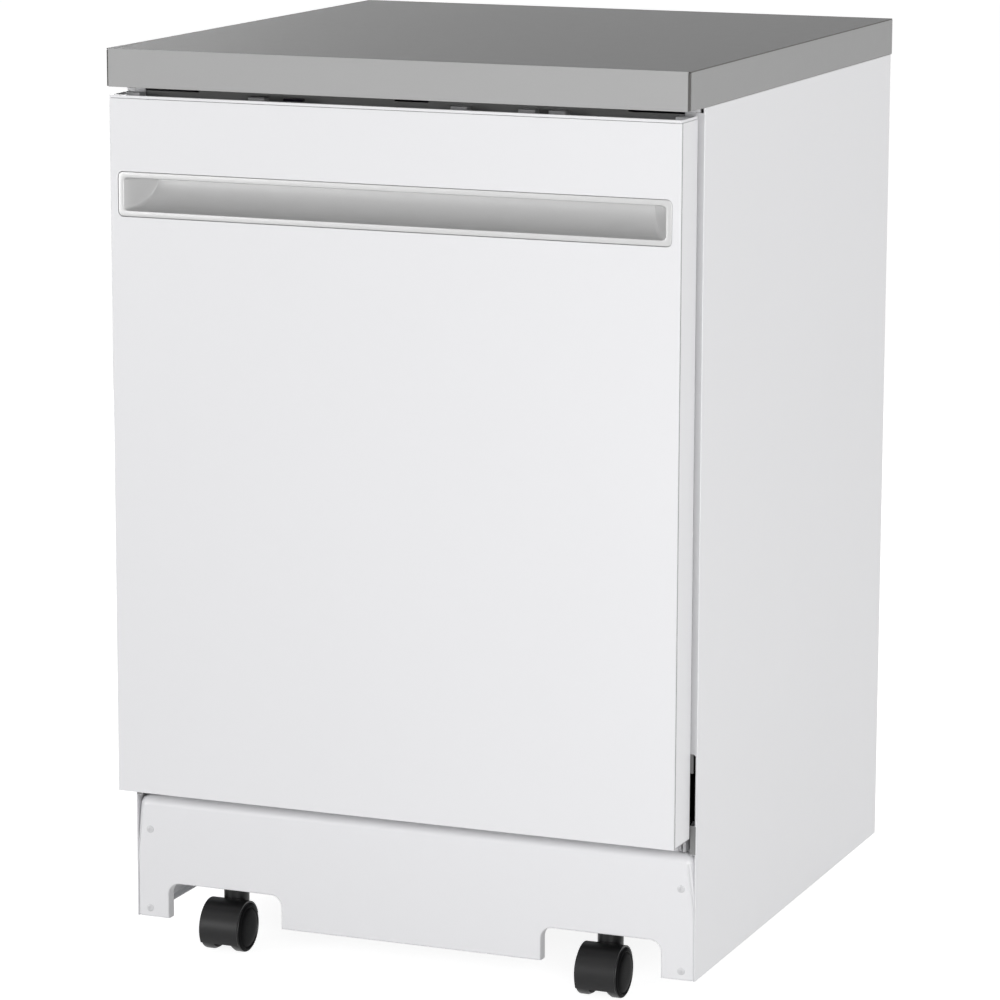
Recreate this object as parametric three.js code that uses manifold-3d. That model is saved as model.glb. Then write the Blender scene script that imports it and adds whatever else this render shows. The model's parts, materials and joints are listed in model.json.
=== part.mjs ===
// A portable dishwasher on casters: a 24-inch front-loading dishwasher in its own cabinet, with a laminate
// worktop. Millimetres. X runs across the front, -Y points at the user and Z up. The origin is on the floor,
// under the middle of the whole object's box.
import * as THREE from "three";
import { mergeVertices } from "three/addons/utils/BufferGeometryUtils.js";
import Module from "manifold-3d";

const wasm = await Module();
wasm.setup();

// ---- Driving dimensions ----------------------------------------------------------------------------------

// Whole object
const WIDTH = 614; // cabinet and worktop
const DEPTH = 660; // door face to the back edge of the worktop
const HEIGHT = 933; // floor to the top of the worktop
const GAP = 0.3; // between two pieces that touch
const SKIN = 1.5; // pressed steel
const TUCK = 0.4; // how far a joined piece stays inside its neighbour's faces, so that no two lie in a plane

// Worktop
const WORKTOP_THICKNESS = 38;
const EDGE_BAND = 3;
const WORKTOP_BACK_OVERHANG = 3.3;

// Cabinet
const DOOR_PROUD = 5.5; // door face in front of the worktop
const CABINET_CLEARANCE = 28; // side panels above the floor
const FRONT_FLANGE = 4.7; // return of the side panel, seen beside the door
const FLANGE_RETURN = 14;
const PANEL_LIP = 10;
const LIP_END = 6; // the lips stop short of the rear panel by this much
const HINGE_NOTCH_RISE = [20, 93]; // from the hinge pin up to the notch's bottom and top
const NOTCH_CHAMFER = 3;
const TOP_NOTCH = 5; // in the flange, under the worktop

// Door
const DOOR_DEPTH = 45.4;
const DOOR_STANDOFF = 5.8; // back of the door to the front of the cabinet
const DOOR_SIDE_GAP = 5.5;
const DOOR_TOP_GAP = 8.5;
const DOOR_BOTTOM = 175.2;
const DOOR_TOP_LIP = 4;
const PIN_INSET = 6.6; // hinge pin behind the front of the cabinet
const PIN_DROP = 8.2; // hinge pin under the door
const LINER_RAISE = 35; // raised field of the inner panel, into the tub
const LINER_FOOT = 37; // the raised field above the door's bottom edge
const LINER_HEADROOM = 1.8; // under the tub's top
const LINER_CLEARANCE = 2; // beside the tub's walls
const ARM_NOTCH = 16; // room for the hinge arm at each side of the inner panel
const ARM_NOTCH_RISE = 30;

// Pocket handle
const HANDLE_INSET = 9; // door's side edge to the bezel
const HANDLE_HEIGHT = 44.8;
const HANDLE_DROP = 74.8; // door's top edge down to the bezel
const HANDLE_BORDER = 6;
const POCKET_DEPTH = 33;
const POCKET_SLANT = 23; // each end wall leans in by this much
const POCKET_WALL = 2.5;
const POCKET_FACETS = 8;
const BEZEL_THICKNESS = 2.5;

// Control strip on the door's top edge
const CONSOLE_HEIGHT = 18;
const CONSOLE_SINK = 0.5; // under the door's top edge
const CONSOLE_WALL = 2.5;
const BUTTON_WIDTH = 16.5;
const BUTTON_LENGTH = 11.4; // front to back
const BUTTON_DEPTH = 8;
const BUTTON_PROUD = 0.4;
const BUTTON_SETBACK = 6.4; // middle of the buttons in front of the door's back
const BUTTON_PLACES = [-159, 57.3, 128, 159.5];
const WINDOW_WIDTH = 24.5;
const WINDOW_PLACE = -120.7;
const WINDOW_THICKNESS = 2.2;

// Latch
const LATCH_HALF = 26;
const LATCH_DEPTH = 17;
const SLOT_HALF = 13;
const SLOT_HEIGHT = 7;
const TONGUE_CLEARANCE = 2; // round the strike's tongue in the latch's slot
const STRIKE_REACH = 12; // of the tongue into the latch
const STRIKE_PLATE_HEIGHT = 20;
const STRIKE_LAP = 4; // of the plate beside the latch's slot

// Tub
const TUB_SIDE_GAP = 37; // inside of the tub to the outside of the cabinet
const TUB_FLOOR = 208;
const TUB_HEADROOM = 47; // worktop's underside down to the inside of the tub's top
const TUB_SETBACK = 1.8; // tub flange behind the cabinet's front
const TUB_REAR_GAP = 31.4; // inside of the tub to the rear panel
const TUB_WALL = 2;
const TUB_LIP = 18; // flange under the mouth
const LIP_TO_ARM = 2; // the hinge arms pass beside the lip
const ARM_WINDOW = 32; // above the tub's floor, where the flange may run to the side panels
const TAB_DROP = 7; // depth of the notches along the flange's top edge
const TAB_SPAN = [21, 79]; // the outer notches, in from the cabinet's sides
const MIDDLE_TAB = [-16, 20];
const LEDGE_WIDTH = 24; // track for the lower rack's wheels
const LEDGE_RISE = 28;
const LEDGE_THICKNESS = 4;
const TUB_FOOT = 16;
const GASKET_INSET = 7; // inner edge of the gasket outside the mouth
const GASKET_WIDTH = 8;
const GASKET_TOP_RISE = 5;

// Base frame and toe panel
const BASE_UNDERSIDE = 66;
const BASE_HEIGHT = 20;
const BASE_SETBACK = 14.8; // behind the front of the cabinet
const BASE_SIDE_RAIL = 57;
const BASE_END_RAIL = 42;
const SOCKET_RADIUS = 16;
const SOCKET_RISE = 18;
const TOE_PIN_CLEARANCE = 10; // toe panel's top edge under the hinge pin
const TOE_RETURN = 12;
const CUTOUT_REACH = 64; // caster cut-outs, each way from the stems
const CUTOUT_RADIUS = 12;
const TOE_MIDDLE_RISE = 3; // middle of the toe panel above its legs

// Hinges
const PIN_RADIUS = 3.5;
const BOSS_RADIUS = 8;
const ARM_INSET = 13.5; // inner face of the hinge arm inside the door's side
const ARM_THICKNESS = 3;
const ARM_TO_BRACKET = 2;
const ARM_LENGTH = 163;
const ARM_WIDTH = 16;
const ARM_UNDERSIDE = 12; // above the pin, clear over the door's bottom return
const ARM_SETBACK = 20; // of the limb inside the door ahead of the pin
const TAIL_LENGTH = 30;
const TAIL_RADIUS = 6;
const BRACKET_FOOT = 14; // front to back
const BRACKET_NOSE = 7; // round the pin
const BRACKET_RISE = 17; // back edge above the pin
const SPRING_RADIUS = 5.5;
const SPRING_GROOVE = 4.4; // radius between the turns
const SPRING_TURNS = 9;
const SPRING_HOOK = 7;
const HOOK_RADIUS = 1.2;

// Casters
const WHEEL_RADIUS = 25.4;
const WHEELSET_WIDTH = 44;
const WHEEL_SPLIT = 10; // between the two wheels of a caster
const CASTER_TRAIL = 19.5; // wheel centre ahead of the swivel stem
const CASTER_SIDE_INSET = 100; // stems inside the cabinet's sides
const CASTER_INSET = 29.6; // front stems behind the front of the cabinet
const REAR_CASTER_INSET = 77.5; // rear stems ahead of the back of the cabinet
const HOOD_GAP = 0.8;
const HOOD_WALL = 2.2;
const COLLAR_RADIUS = 12.7;
const STEM_RADIUS = 5.5;
const STEM_TOP = 101;
const AXLE_RADIUS = 4;
const AXLE_HUB = 9;
const WHEEL_CHAMFER = 3;
const WHEEL_DOME = 1; // of each outer face
const FENDER_ARC = [20, 218]; // degrees round the wheels, from behind them over the top
const FENDER_POINTS = 14;

// Racks
const WIRE = 4; // rims
const FINE_WIRE = 3; // floor
const UPRIGHT_WIRE = 3.4;
const WIRE_STEP = 0.2; // floor wires above and below the middle of the rim
const CROSS_WIRES = 7;
const LONG_WIRES = 7;
const RACK_REAR_GAP = 36.9; // behind the racks
const RACK_SETBACK = 35; // front of the racks behind the door's raised field
const UPPER_RACK_DROP = 276; // tub's top down to the upper rack's base
const UPPER_RACK_INSET = 25; // inside the tub's walls
const UPPER_HEIGHT = 128;
const LOWER_RACK_INSET = 30;
const LOWER_HEIGHT = 170;
const RACK_WHEEL_RADIUS = 18;
const RACK_WHEEL_WIDTH = 9;
const RACK_WHEEL_STANDOFF = 8; // beside the lower rack's rim
const RACK_AXLE_END = 2; // past the wheel
const RACK_AXLE_RADIUS = 3;
const RACK_WHEEL_INSET = [144.9, 50.1]; // from the rack's front and back
const RUNNER_HEIGHT = 11.4;
const RUNNER_REACH = 20; // of the runner behind the upper rack
const RAIL_RISE = 62; // underside of the rail channel above the upper rack's base
const RAIL_WALL = 2;
const RAIL_WIDTH = 12;
const RAIL_SETBACK = 8; // behind the door's raised field

// Silverware basket
const BASKET_INSET = 12; // inside the lower rack's rim
const BASKET_WIDTH = 78;
const BASKET_SETBACK = 64.9; // behind the rack's front
const BASKET_LENGTH = 320;
const BASKET_HEIGHT = 120;
const BASKET_WALL = 2;
const BASKET_CELLS = 5;

// Wash system
const HUB_OFFSET = 12.5; // of the spray arms behind the tub's middle
const LOWER_ARM_CLEARANCE = 40; // tips inside the tub's walls
const MIDDLE_ARM_CLEARANCE = 65;
const TOP_ARM_LENGTH = 150;
const ARM_HEIGHT = 9;
const ARM_HUB_RADIUS = 24;
const ARM_TIP_RADIUS = 13;
const HUB_CAP = 5; // above the lower arm
const HUB_SKIRT = 6; // under the arms that hang
const SPIGOT_RADIUS = 9;
const POST_RADIUS = 14;
const POST_RISE = 14; // above the tub's floor
const SPIGOT_HEIGHT = 10;
const SUMP_X = 75;
const SUMP_RADIUS = 42;
const SUMP_WALL = 4;
const SUMP_FLANGE = 60;
const SUMP_BOTTOM = 140;
const POST_FOOT = 150;
const WEB_HEIGHT = 20;
const FILTER_RADIUS = 30;
const FILTER_PLATE_RADIUS = 43.7;
const FILTER_TOP = 212;
const GRIP_HEIGHT = 7;
const HEATER_CLEARANCE = 70; // loop inside the tub's walls
const HEATER_TUBE = 4;
const HEATER_RISE = 8;
const HEATER_FEET = [30, 150, 270]; // degrees round the loop
const FLOAT_INSET = [70, 87]; // from the tub's side and front
const FLOAT_RADIUS = 16;
const FLOAT_HEIGHT = 30;
const FLOAT_SHOULDER = 24;
const FLOAT_TOP_RADIUS = 9.6;
const FLOAT_BORE_DEPTH = 21;
const FLOAT_PIN = 4;
const CONDUIT_WIDTH = 28;
const CONDUIT_DEPTH = 12;
const FEED_HEIGHT = 14;
const TOP_SPIGOT = 10;

// Pumps and valve
const WASH_PUMP_RADIUS = 45;
const WASH_PUMP_LENGTH = 120;
const WASH_MOTOR_RADIUS = 36;
const WASH_HOUSING_LENGTH = 40;
const WASH_PUMP_Z = 150;
const PUMP_NOSE = 12;
const PUMP_NOSE_LENGTH = 26;
const DRAIN_PUMP_RADIUS = 26;
const DRAIN_PUMP_LENGTH = 76;
const DRAIN_PUMP_Z = 165;
const VALVE_INSET = [97, 33.4]; // from the cabinet's side and the rear panel
const VALVE_SIZE = [40, 30, 34];
const VALVE_PORT = 9;

// Dispenser
const DISPENSER_HALF = 80;
const DISPENSER_DROP = 67.2; // its foot under the middle of the inner panel
const DISPENSER_HEIGHT = 146;
const DISPENSER_PLATE = 4;
const DISPENSER_BORDER = 8;
const DISPENSER_DEPTH = 20;
const CUP_X = [-66, -8];
const CUP_RISE = [23, 98]; // above the dispenser's foot
const CUP_DEPTH = 17;
const LID_LAP = 4;
const LID_THICKNESS = 4;
const CAP_X = 50;
const CAP_RISE = 124;
const CAP_RADIUS = 13;
const CAP_HEIGHT = 5;
const CAP_GRIP = [10.4, 2]; // half the grip bar's length and width

// Outlet for the cord and the hose
const OUTLET_INSET = [77, 72.7]; // from the cabinet's side and top
const OUTLET_HALF = [36, 24];
const OUTLET_PLATE = 3;
const OUTLET_LAP = 6;
const OUTLET_DEPTH = 10;
const CORD_HOLE = 6;
const HOSE_HOLE = 14;

// ---- Places worked out from them -------------------------------------------------------------------------

const half = WIDTH / 2;
const doorFace = -DEPTH / 2;
const doorBack = doorFace + DOOR_DEPTH;
const cabinetFront = doorBack + DOOR_STANDOFF;
const worktopFront = doorFace + DOOR_PROUD;
const worktopBack = DEPTH / 2;
const cabinetBack = worktopBack - WORKTOP_BACK_OVERHANG;
const worktopUnder = HEIGHT - WORKTOP_THICKNESS;
const cabinetTop = worktopUnder - GAP;
const cabinetInside = half - SKIN - GAP; // what fits between the side panels
const rearPanelY = [cabinetBack - 2 * SKIN - GAP, cabinetBack - SKIN - GAP];
const doorHalf = half - DOOR_SIDE_GAP;
const doorInside = doorHalf - SKIN - GAP; // what fits between the door's returns
const doorTop = worktopUnder - DOOR_TOP_GAP;
const pin = { y: cabinetFront + PIN_INSET, z: DOOR_BOTTOM - PIN_DROP };
const toeTop = pin.z - TOE_PIN_CLEARANCE;
const rimY = [doorBack - GAP - SKIN, doorBack - GAP]; // inner panel's flat rim
const consoleTop = doorTop - CONSOLE_SINK;
const consoleBottom = consoleTop - CONSOLE_HEIGHT;
const linerFace = rimY[0] + LINER_RAISE + SKIN;
const tubFront = cabinetFront + TUB_SETBACK;
const tubBack = rearPanelY[0] - TUB_REAR_GAP;
const tubTop = worktopUnder - TUB_HEADROOM;
const tubHalf = half - TUB_SIDE_GAP;
const linerHalf = tubHalf - LINER_CLEARANCE;
const linerZ = [DOOR_BOTTOM + LINER_FOOT, tubTop - LINER_HEADROOM];
const hubY = (tubFront + tubBack) / 2 + HUB_OFFSET;
const tubUnder = TUB_FLOOR - TUB_WALL;
const ledgeTop = TUB_FLOOR + LEDGE_RISE;
const baseTop = BASE_UNDERSIDE + BASE_HEIGHT;
const baseY = [cabinetFront + BASE_SETBACK, rearPanelY[0] - GAP];
const frontStemY = cabinetFront + CASTER_INSET;
const rearStemY = cabinetBack - REAR_CASTER_INSET;
const casterX = half - CASTER_SIDE_INSET;
const rackFront = linerFace + RACK_SETBACK;
const rackDepth = tubBack - RACK_REAR_GAP - rackFront;
const rackMiddle = rackFront + rackDepth / 2;
const rackWheelY = [rackFront + RACK_WHEEL_INSET[0], rackFront + rackDepth - RACK_WHEEL_INSET[1]];
const upperHalf = tubHalf - UPPER_RACK_INSET;
const upperBase = tubTop - UPPER_RACK_DROP;
const lowerHalf = tubHalf - LOWER_RACK_INSET;
const lowerBase = ledgeTop + GAP + RACK_WHEEL_RADIUS - WIRE / 2;
const armPlace = doorHalf - ARM_INSET;
const bracketPlace = armPlace + ARM_THICKNESS + ARM_TO_BRACKET;
const ceiling = tubTop - GAP;
const floatPlace = [tubHalf - FLOAT_INSET[0], tubFront + FLOAT_INSET[1]];
const conduitFront = tubBack - GAP - CONDUIT_DEPTH;
const slotZ = consoleBottom + SLOT_HEIGHT;
const handleHalf = doorHalf - HANDLE_INSET;
const dispenserFoot = (linerZ[0] + linerZ[1]) / 2 - DISPENSER_DROP;
const dispenserZ = [dispenserFoot, dispenserFoot + DISPENSER_HEIGHT];
const cupZ = CUP_RISE.map((rise) => dispenserFoot + rise);
const outletPlace = [half - OUTLET_INSET[0], cabinetTop - OUTLET_INSET[1]];

// ---- Shaping helpers -------------------------------------------------------------------------------------

// A closed geometry as a solid that can be joined and cut.
function solid(geometry) {
  const bare = geometry.clone();
  bare.deleteAttribute("normal");
  bare.deleteAttribute("uv");
  const merged = mergeVertices(bare, 1e-4);
  return new wasm.Manifold(
    new wasm.Mesh({
      numProp: 3,
      vertProperties: merged.attributes.position.array,
      triVerts: new Uint32Array(merged.index.array),
    }),
  );
}

function geometryOf(shape) {
  const { vertProperties, triVerts } = shape.getMesh();
  const geometry = new THREE.BufferGeometry()
    .setAttribute("position", new THREE.BufferAttribute(vertProperties, 3))
    .setIndex(new THREE.BufferAttribute(triVerts, 1));
  geometry.computeVertexNormals();
  return geometry;
}

const join = (first, ...rest) => rest.reduce((whole, piece) => whole.add(piece), first);
const cut = (first, ...rest) => rest.reduce((whole, piece) => whole.subtract(piece), first);

// Ranges: about a middle, and on the left (side -1) or right (side 1) of the object's middle plane.
const about = (middle, reach) => [middle - reach, middle + reach];
const onSide = (side, near, far) => (side > 0 ? [near, far] : [-far, -near]);
const spread = (count, from, to) =>
  Array.from({ length: count }, (_, i) => from + ((to - from) * i) / (count - 1));

// Each corner takes its range's own end, so that blocks with a shared face meet exactly.
function block(x, y, z) {
  const box = new THREE.BoxGeometry(1, 1, 1);
  const corners = box.attributes.position;
  for (let i = 0; i < corners.count; i++) {
    const end = [corners.getX(i), corners.getY(i), corners.getZ(i)].map((at) => (at > 0 ? 1 : 0));
    corners.setXYZ(i, x[end[0]], y[end[1]], z[end[2]]);
  }
  return solid(box);
}

const outline = (points) => new THREE.Shape(points.map(([a, b]) => new THREE.Vector2(a, b)));

function roundedOutline([a0, a1], [b0, b1], radius) {
  const shape = new THREE.Shape();
  const corners = [[a1, b0, -90], [a1, b1, 0], [a0, b1, 90], [a0, b0, 180]];
  for (const [a, b, start] of corners) {
    const from = THREE.MathUtils.degToRad(start);
    const inwardA = a === a1 ? a - radius : a + radius;
    const inwardB = b === b1 ? b - radius : b + radius;
    shape.absarc(inwardA, inwardB, radius, from, from + Math.PI / 2, false);
  }
  shape.closePath();
  return shape;
}

function extruded(shape, [low, high]) {
  const geometry = new THREE.ExtrudeGeometry(shape, { depth: 1, bevelEnabled: false, curveSegments: 4 });
  const points = geometry.attributes.position;
  for (let i = 0; i < points.count; i++) points.setZ(i, points.getZ(i) > 0.5 ? high : low);
  return geometry;
}

// Outlines of (y, z), (x, z) or (x, y), drawn out along the third axis.
const YZ_TO_X = new THREE.Matrix4().set(0, 0, 1, 0, 1, 0, 0, 0, 0, 1, 0, 0, 0, 0, 0, 1);
const XZ_TO_Y = new THREE.Matrix4().set(1, 0, 0, 0, 0, 0, -1, 0, 0, 1, 0, 0, 0, 0, 0, 1);
const alongX = (shape, range) => solid(extruded(shape, range).applyMatrix4(YZ_TO_X));
const alongY = (shape, [low, high]) => solid(extruded(shape, [-high, -low]).applyMatrix4(XZ_TO_Y));
const alongZ = (shape, range) => solid(extruded(shape, range));

// Round pieces: a profile of (radius, place) turned about an axis that passes through the given place.
const TURN_TO = {
  x: (g, [y, z]) => g.rotateZ(-Math.PI / 2).translate(0, y, z),
  y: (g, [x, z]) => g.translate(x, 0, z),
  z: (g, [x, y]) => g.rotateX(Math.PI / 2).translate(x, y, 0),
};
function turned(axis, profile, place, segments = 24) {
  const points = profile.map(([radius, at]) => new THREE.Vector2(radius, at));
  return solid(TURN_TO[axis](new THREE.LatheGeometry(points, segments), place));
}
const rod = (axis, radius, [low, high], place, segments = 20) =>
  turned(axis, [[0, low], [radius, low], [radius, high], [0, high]], place, segments);

// ---- Finishes and placing --------------------------------------------------------------------------------

const FINISHES = {
  white_enamel: [0xe8e8ea, 0.4, 0],
  grey_laminate: [0x8a8a8a, 0.5, 0],
  grey_edge: [0xa6a6a6, 0.45, 0],
  handle_grey: [0xb9babc, 0.35, 0],
  dark_plastic: [0x4a4a4c, 0.5, 0],
  tub_plastic: [0x8d9094, 0.45, 0],
  black_plastic: [0x242424, 0.5, 0],
  white_plastic: [0xdcdcd8, 0.45, 0],
  window: [0x1c1822, 0.15, 0],
  rubber: [0x1b1b1b, 0.8, 0],
  coated_wire: [0xa9adb2, 0.5, 0],
  zinc_steel: [0xb4b6b8, 0.4, 0.9],
  stainless: [0xc4c6c8, 0.3, 1],
};

const dishwasher = new THREE.Group();

function place(parent, name, shape, finish, [x, y, z] = [0, 0, 0]) {
  const [color, roughness, metalness] = FINISHES[finish];
  const material = new THREE.MeshStandardMaterial({ color, roughness, metalness });
  const mesh = new THREE.Mesh(geometryOf(shape), material);
  mesh.name = name;
  mesh.position.set(x, y, z);
  parent.add(mesh);
}

function group(parent, x, y, z) {
  const made = new THREE.Group();
  made.position.set(x, y, z);
  parent.add(made);
  return made;
}

const SIDES = { left: -1, right: 1 };

// ---- Worktop ---------------------------------------------------------------------------------------------

function addWorktop() {
  const thickness = [worktopUnder, HEIGHT];
  const inset = EDGE_BAND + GAP;
  const y = [worktopFront, worktopBack];
  const core = block(about(0, half - inset), [y[0] + inset, y[1] - inset], thickness);
  const ring = cut(
    alongZ(roundedOutline(about(0, half), y, EDGE_BAND), thickness),
    block(
      about(0, half - EDGE_BAND),
      [y[0] + EDGE_BAND, y[1] - EDGE_BAND],
      [worktopUnder - 1, HEIGHT + 1],
    ),
  );
  place(dishwasher, "worktop", core, "grey_laminate");
  place(dishwasher, "worktop_edge_band", ring, "grey_edge");
}

// ---- Cabinet ---------------------------------------------------------------------------------------------

function sidePanel(side) {
  const z = [CABINET_CLEARANCE, cabinetTop];
  const inner = half - FRONT_FLANGE;
  const lipX = onSide(side, half - PANEL_LIP, half - SKIN / 2);
  const lipY = [cabinetFront + BASE_SETBACK, cabinetBack - LIP_END];
  const [notchLow, notchHigh] = HINGE_NOTCH_RISE.map((rise) => pin.z + rise);
  const section = [
    [half, cabinetFront],
    [half, cabinetBack],
    [half - PANEL_LIP, cabinetBack],
    [half - PANEL_LIP, cabinetBack - SKIN],
    [half - SKIN, cabinetBack - SKIN],
    [half - SKIN, cabinetFront + SKIN],
    [inner + SKIN, cabinetFront + SKIN],
    [inner + SKIN, cabinetFront + FLANGE_RETURN],
    [inner, cabinetFront + FLANGE_RETURN],
    [inner, cabinetFront],
  ].map(([x, y]) => [side * x, y]);
  const notch = [
    [half - SKIN - TUCK, notchLow],
    [half - SKIN - TUCK, notchHigh],
    [inner + NOTCH_CHAMFER / 2, notchHigh],
    [inner - 1, notchHigh - NOTCH_CHAMFER],
    [inner - 1, notchLow],
  ].map(([x, at]) => [side * x, at]);
  const flangeY = [cabinetFront - 1, cabinetFront + FLANGE_RETURN + 1];
  return cut(
    join(
      alongZ(outline(section), z),
      block(lipX, lipY, [z[1] - SKIN - TUCK, z[1] - TUCK]),
      block(lipX, lipY, [z[0] + TUCK, z[0] + TUCK + SKIN]),
    ),
    alongY(outline(notch), flangeY),
    block(onSide(side, inner - 1, half - SKIN - TUCK), flangeY, [z[1] - TOP_NOTCH, z[1] + 1]),
    block(onSide(side, inner - 1, half - SKIN), flangeY, [z[0] - 1, toeTop + 2 * GAP]),
  );
}

function rearPanel() {
  const [x, z] = outletPlace;
  const panel = block(about(0, cabinetInside), rearPanelY, [BASE_UNDERSIDE, cabinetTop]);
  const hole = block(
    about(x, OUTLET_HALF[0] - OUTLET_LAP),
    [rearPanelY[0] - 1, rearPanelY[1] + 1],
    about(z, OUTLET_HALF[1] - OUTLET_LAP),
  );
  return cut(panel, hole);
}

// The plate through which the cord and the hose leave the cabinet.
function outlet() {
  const [x, z] = outletPlace;
  const back = rearPanelY[1] + GAP;
  const plate = block(about(x, OUTLET_HALF[0]), [back, back + OUTLET_PLATE], about(z, OUTLET_HALF[1]));
  const neck = block(
    about(x, OUTLET_HALF[0] - OUTLET_LAP - GAP),
    [back - OUTLET_DEPTH, back + 1],
    about(z, OUTLET_HALF[1] - OUTLET_LAP - GAP),
  );
  const through = [back - OUTLET_DEPTH - 1, back + OUTLET_PLATE + 1];
  return cut(
    join(plate, neck),
    rod("y", HOSE_HOLE, through, [x - HOSE_HOLE, z], 16),
    rod("y", CORD_HOLE, through, [x + HOSE_HOLE + CORD_HOLE / 2, z], 12),
  );
}

function toePanel() {
  const [inner, outer] = about(casterX, CUTOUT_REACH);
  const legs = CABINET_CLEARANCE;
  const middle = legs + TOE_MIDDLE_RISE;
  const front = cabinetFront;
  const returned = [front + TUCK, front + TOE_RETURN];
  const through = [front - 1, front + TOE_RETURN + 1];
  const section = outline([
    [front, legs],
    [front + SKIN, legs],
    [front + SKIN, toeTop - SKIN],
    [front + TOE_RETURN - TUCK, toeTop - SKIN],
    [front + TOE_RETURN - TUCK, toeTop],
    [front, toeTop],
  ]);
  let panel = join(
    alongX(section, about(0, cabinetInside)),
    block(about(0, inner), returned, [middle, middle + SKIN]),
  );
  for (const side of Object.values(SIDES)) {
    const frame = roundedOutline(
      onSide(side, inner - SKIN, outer + SKIN),
      [legs + TUCK, BASE_UNDERSIDE + SKIN],
      CUTOUT_RADIUS + SKIN,
    );
    const legEnds = block(
      onSide(side, inner - SKIN + TUCK, outer + SKIN - TUCK),
      [returned[0] + TUCK, returned[1] - TUCK],
      [legs + 2 * TUCK, legs + 2 * CUTOUT_RADIUS],
    );
    const opening = roundedOutline(
      onSide(side, inner, outer),
      [legs - 2 * CUTOUT_RADIUS, BASE_UNDERSIDE],
      CUTOUT_RADIUS,
    );
    panel = cut(join(panel, alongY(frame, returned), legEnds), alongY(opening, through));
  }
  return cut(panel, block(about(0, inner + 1), through, [legs - 1, middle]));
}

const stemPlaces = () =>
  Object.entries({ front: frontStemY, rear: rearStemY }).flatMap(([end, y]) =>
    Object.entries(SIDES).map(([name, side]) => ({ name: `${end}_${name}`, x: side * casterX, y })),
  );

function baseFrame() {
  const ring = cut(
    block(about(0, cabinetInside), baseY, [BASE_UNDERSIDE, baseTop]),
    block(
      about(0, cabinetInside - BASE_SIDE_RAIL),
      [baseY[0] + BASE_END_RAIL, rearStemY - SOCKET_RADIUS - GAP],
      [BASE_UNDERSIDE - 1, baseTop + 1],
    ),
  );
  const sockets = stemPlaces().map(({ x, y }) =>
    rod("z", SOCKET_RADIUS, [baseTop - 1, baseTop + SOCKET_RISE], [x, y]),
  );
  const bores = stemPlaces().map(({ x, y }) =>
    rod("z", STEM_RADIUS + GAP, [BASE_UNDERSIDE - 1, baseTop + SOCKET_RISE + 1], [x, y]),
  );
  return cut(join(ring, ...sockets), ...bores);
}

function addCabinet() {
  for (const [name, side] of Object.entries(SIDES))
    place(dishwasher, `side_panel_${name}`, sidePanel(side), "white_enamel");
  place(dishwasher, "rear_panel", rearPanel(), "zinc_steel");
  place(dishwasher, "cord_and_hose_outlet", outlet(), "black_plastic");
  place(dishwasher, "toe_panel", toePanel(), "white_enamel");
  place(dishwasher, "base_frame", baseFrame(), "zinc_steel");
}

// ---- Tub -------------------------------------------------------------------------------------------------

function tubFlange() {
  const wide = half - FRONT_FLANGE - GAP;
  const lipHalf = armPlace - LIP_TO_ARM;
  const armLevel = TUB_FLOOR + ARM_WINDOW;
  const low = TUB_FLOOR - TUB_LIP;
  const [near, far] = TAB_SPAN.map((inset) => half - inset);
  const notches = [[-near, -far], MIDDLE_TAB, [far, near]];
  const topEdge = notches.flatMap(([left, right]) => [
    [left, cabinetTop],
    [left, cabinetTop - TAB_DROP],
    [right, cabinetTop - TAB_DROP],
    [right, cabinetTop],
  ]);
  const shape = outline([
    [lipHalf, low],
    [lipHalf, armLevel],
    [wide, armLevel],
    [wide, cabinetTop],
    ...topEdge.reverse(),
    [-wide, cabinetTop],
    [-wide, armLevel],
    [-lipHalf, armLevel],
    [-lipHalf, low],
  ]);
  return alongY(shape, [tubFront, tubFront + TUB_WALL]);
}

function tub() {
  const outer = block(
    about(0, tubHalf + TUB_WALL),
    [tubFront + TUB_WALL / 2, tubBack + TUB_WALL],
    [tubUnder, tubTop + TUB_WALL],
  );
  const inner = block(about(0, tubHalf), [tubFront - 1, tubBack], [TUB_FLOOR, tubTop]);
  const footX = tubHalf - TUB_FOOT - TUB_WALL;
  const feetY = [baseY[0] + BASE_END_RAIL - TUB_FOOT, tubBack - TUB_FOOT];
  const ledges = Object.values(SIDES).map((side) =>
    block(
      onSide(side, tubHalf - LEDGE_WIDTH, tubHalf + TUB_WALL / 2),
      [linerFace + RAIL_WALL, tubBack + TUB_WALL / 2],
      [ledgeTop - LEDGE_THICKNESS, ledgeTop],
    ),
  );
  const feet = Object.values(SIDES).flatMap((side) =>
    feetY.map((y) =>
      block(
        onSide(side, footX, footX + TUB_FOOT),
        [y, y + TUB_FOOT],
        [baseTop + GAP, tubUnder + TUB_WALL / 2],
      ),
    ),
  );
  const floatPin = rod("z", FLOAT_PIN, [tubUnder + 1, TUB_FLOOR + FLOAT_HEIGHT / 2], floatPlace, 12);
  const drains = [
    rod("z", FILTER_PLATE_RADIUS + GAP, [tubUnder - 1, TUB_FLOOR + 1], [SUMP_X, hubY], 28),
    rod("z", POST_RADIUS + GAP, [tubUnder - 1, TUB_FLOOR + 1], [0, hubY]),
  ];
  const shell = cut(join(outer, tubFlange(), ...feet), inner);
  return cut(join(shell, ...ledges, floatPin), ...drains);
}

function gasket() {
  const inner = tubHalf + GASKET_INSET;
  const top = tubTop + GASKET_TOP_RISE;
  const low = linerZ[0];
  const shape = outline([
    [-inner - GASKET_WIDTH, low],
    [-inner, low],
    [-inner, top],
    [inner, top],
    [inner, low],
    [inner + GASKET_WIDTH, low],
    [inner + GASKET_WIDTH, top + GASKET_WIDTH],
    [-inner - GASKET_WIDTH, top + GASKET_WIDTH],
  ]);
  return alongY(shape, [doorBack, tubFront - GAP]);
}

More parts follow.
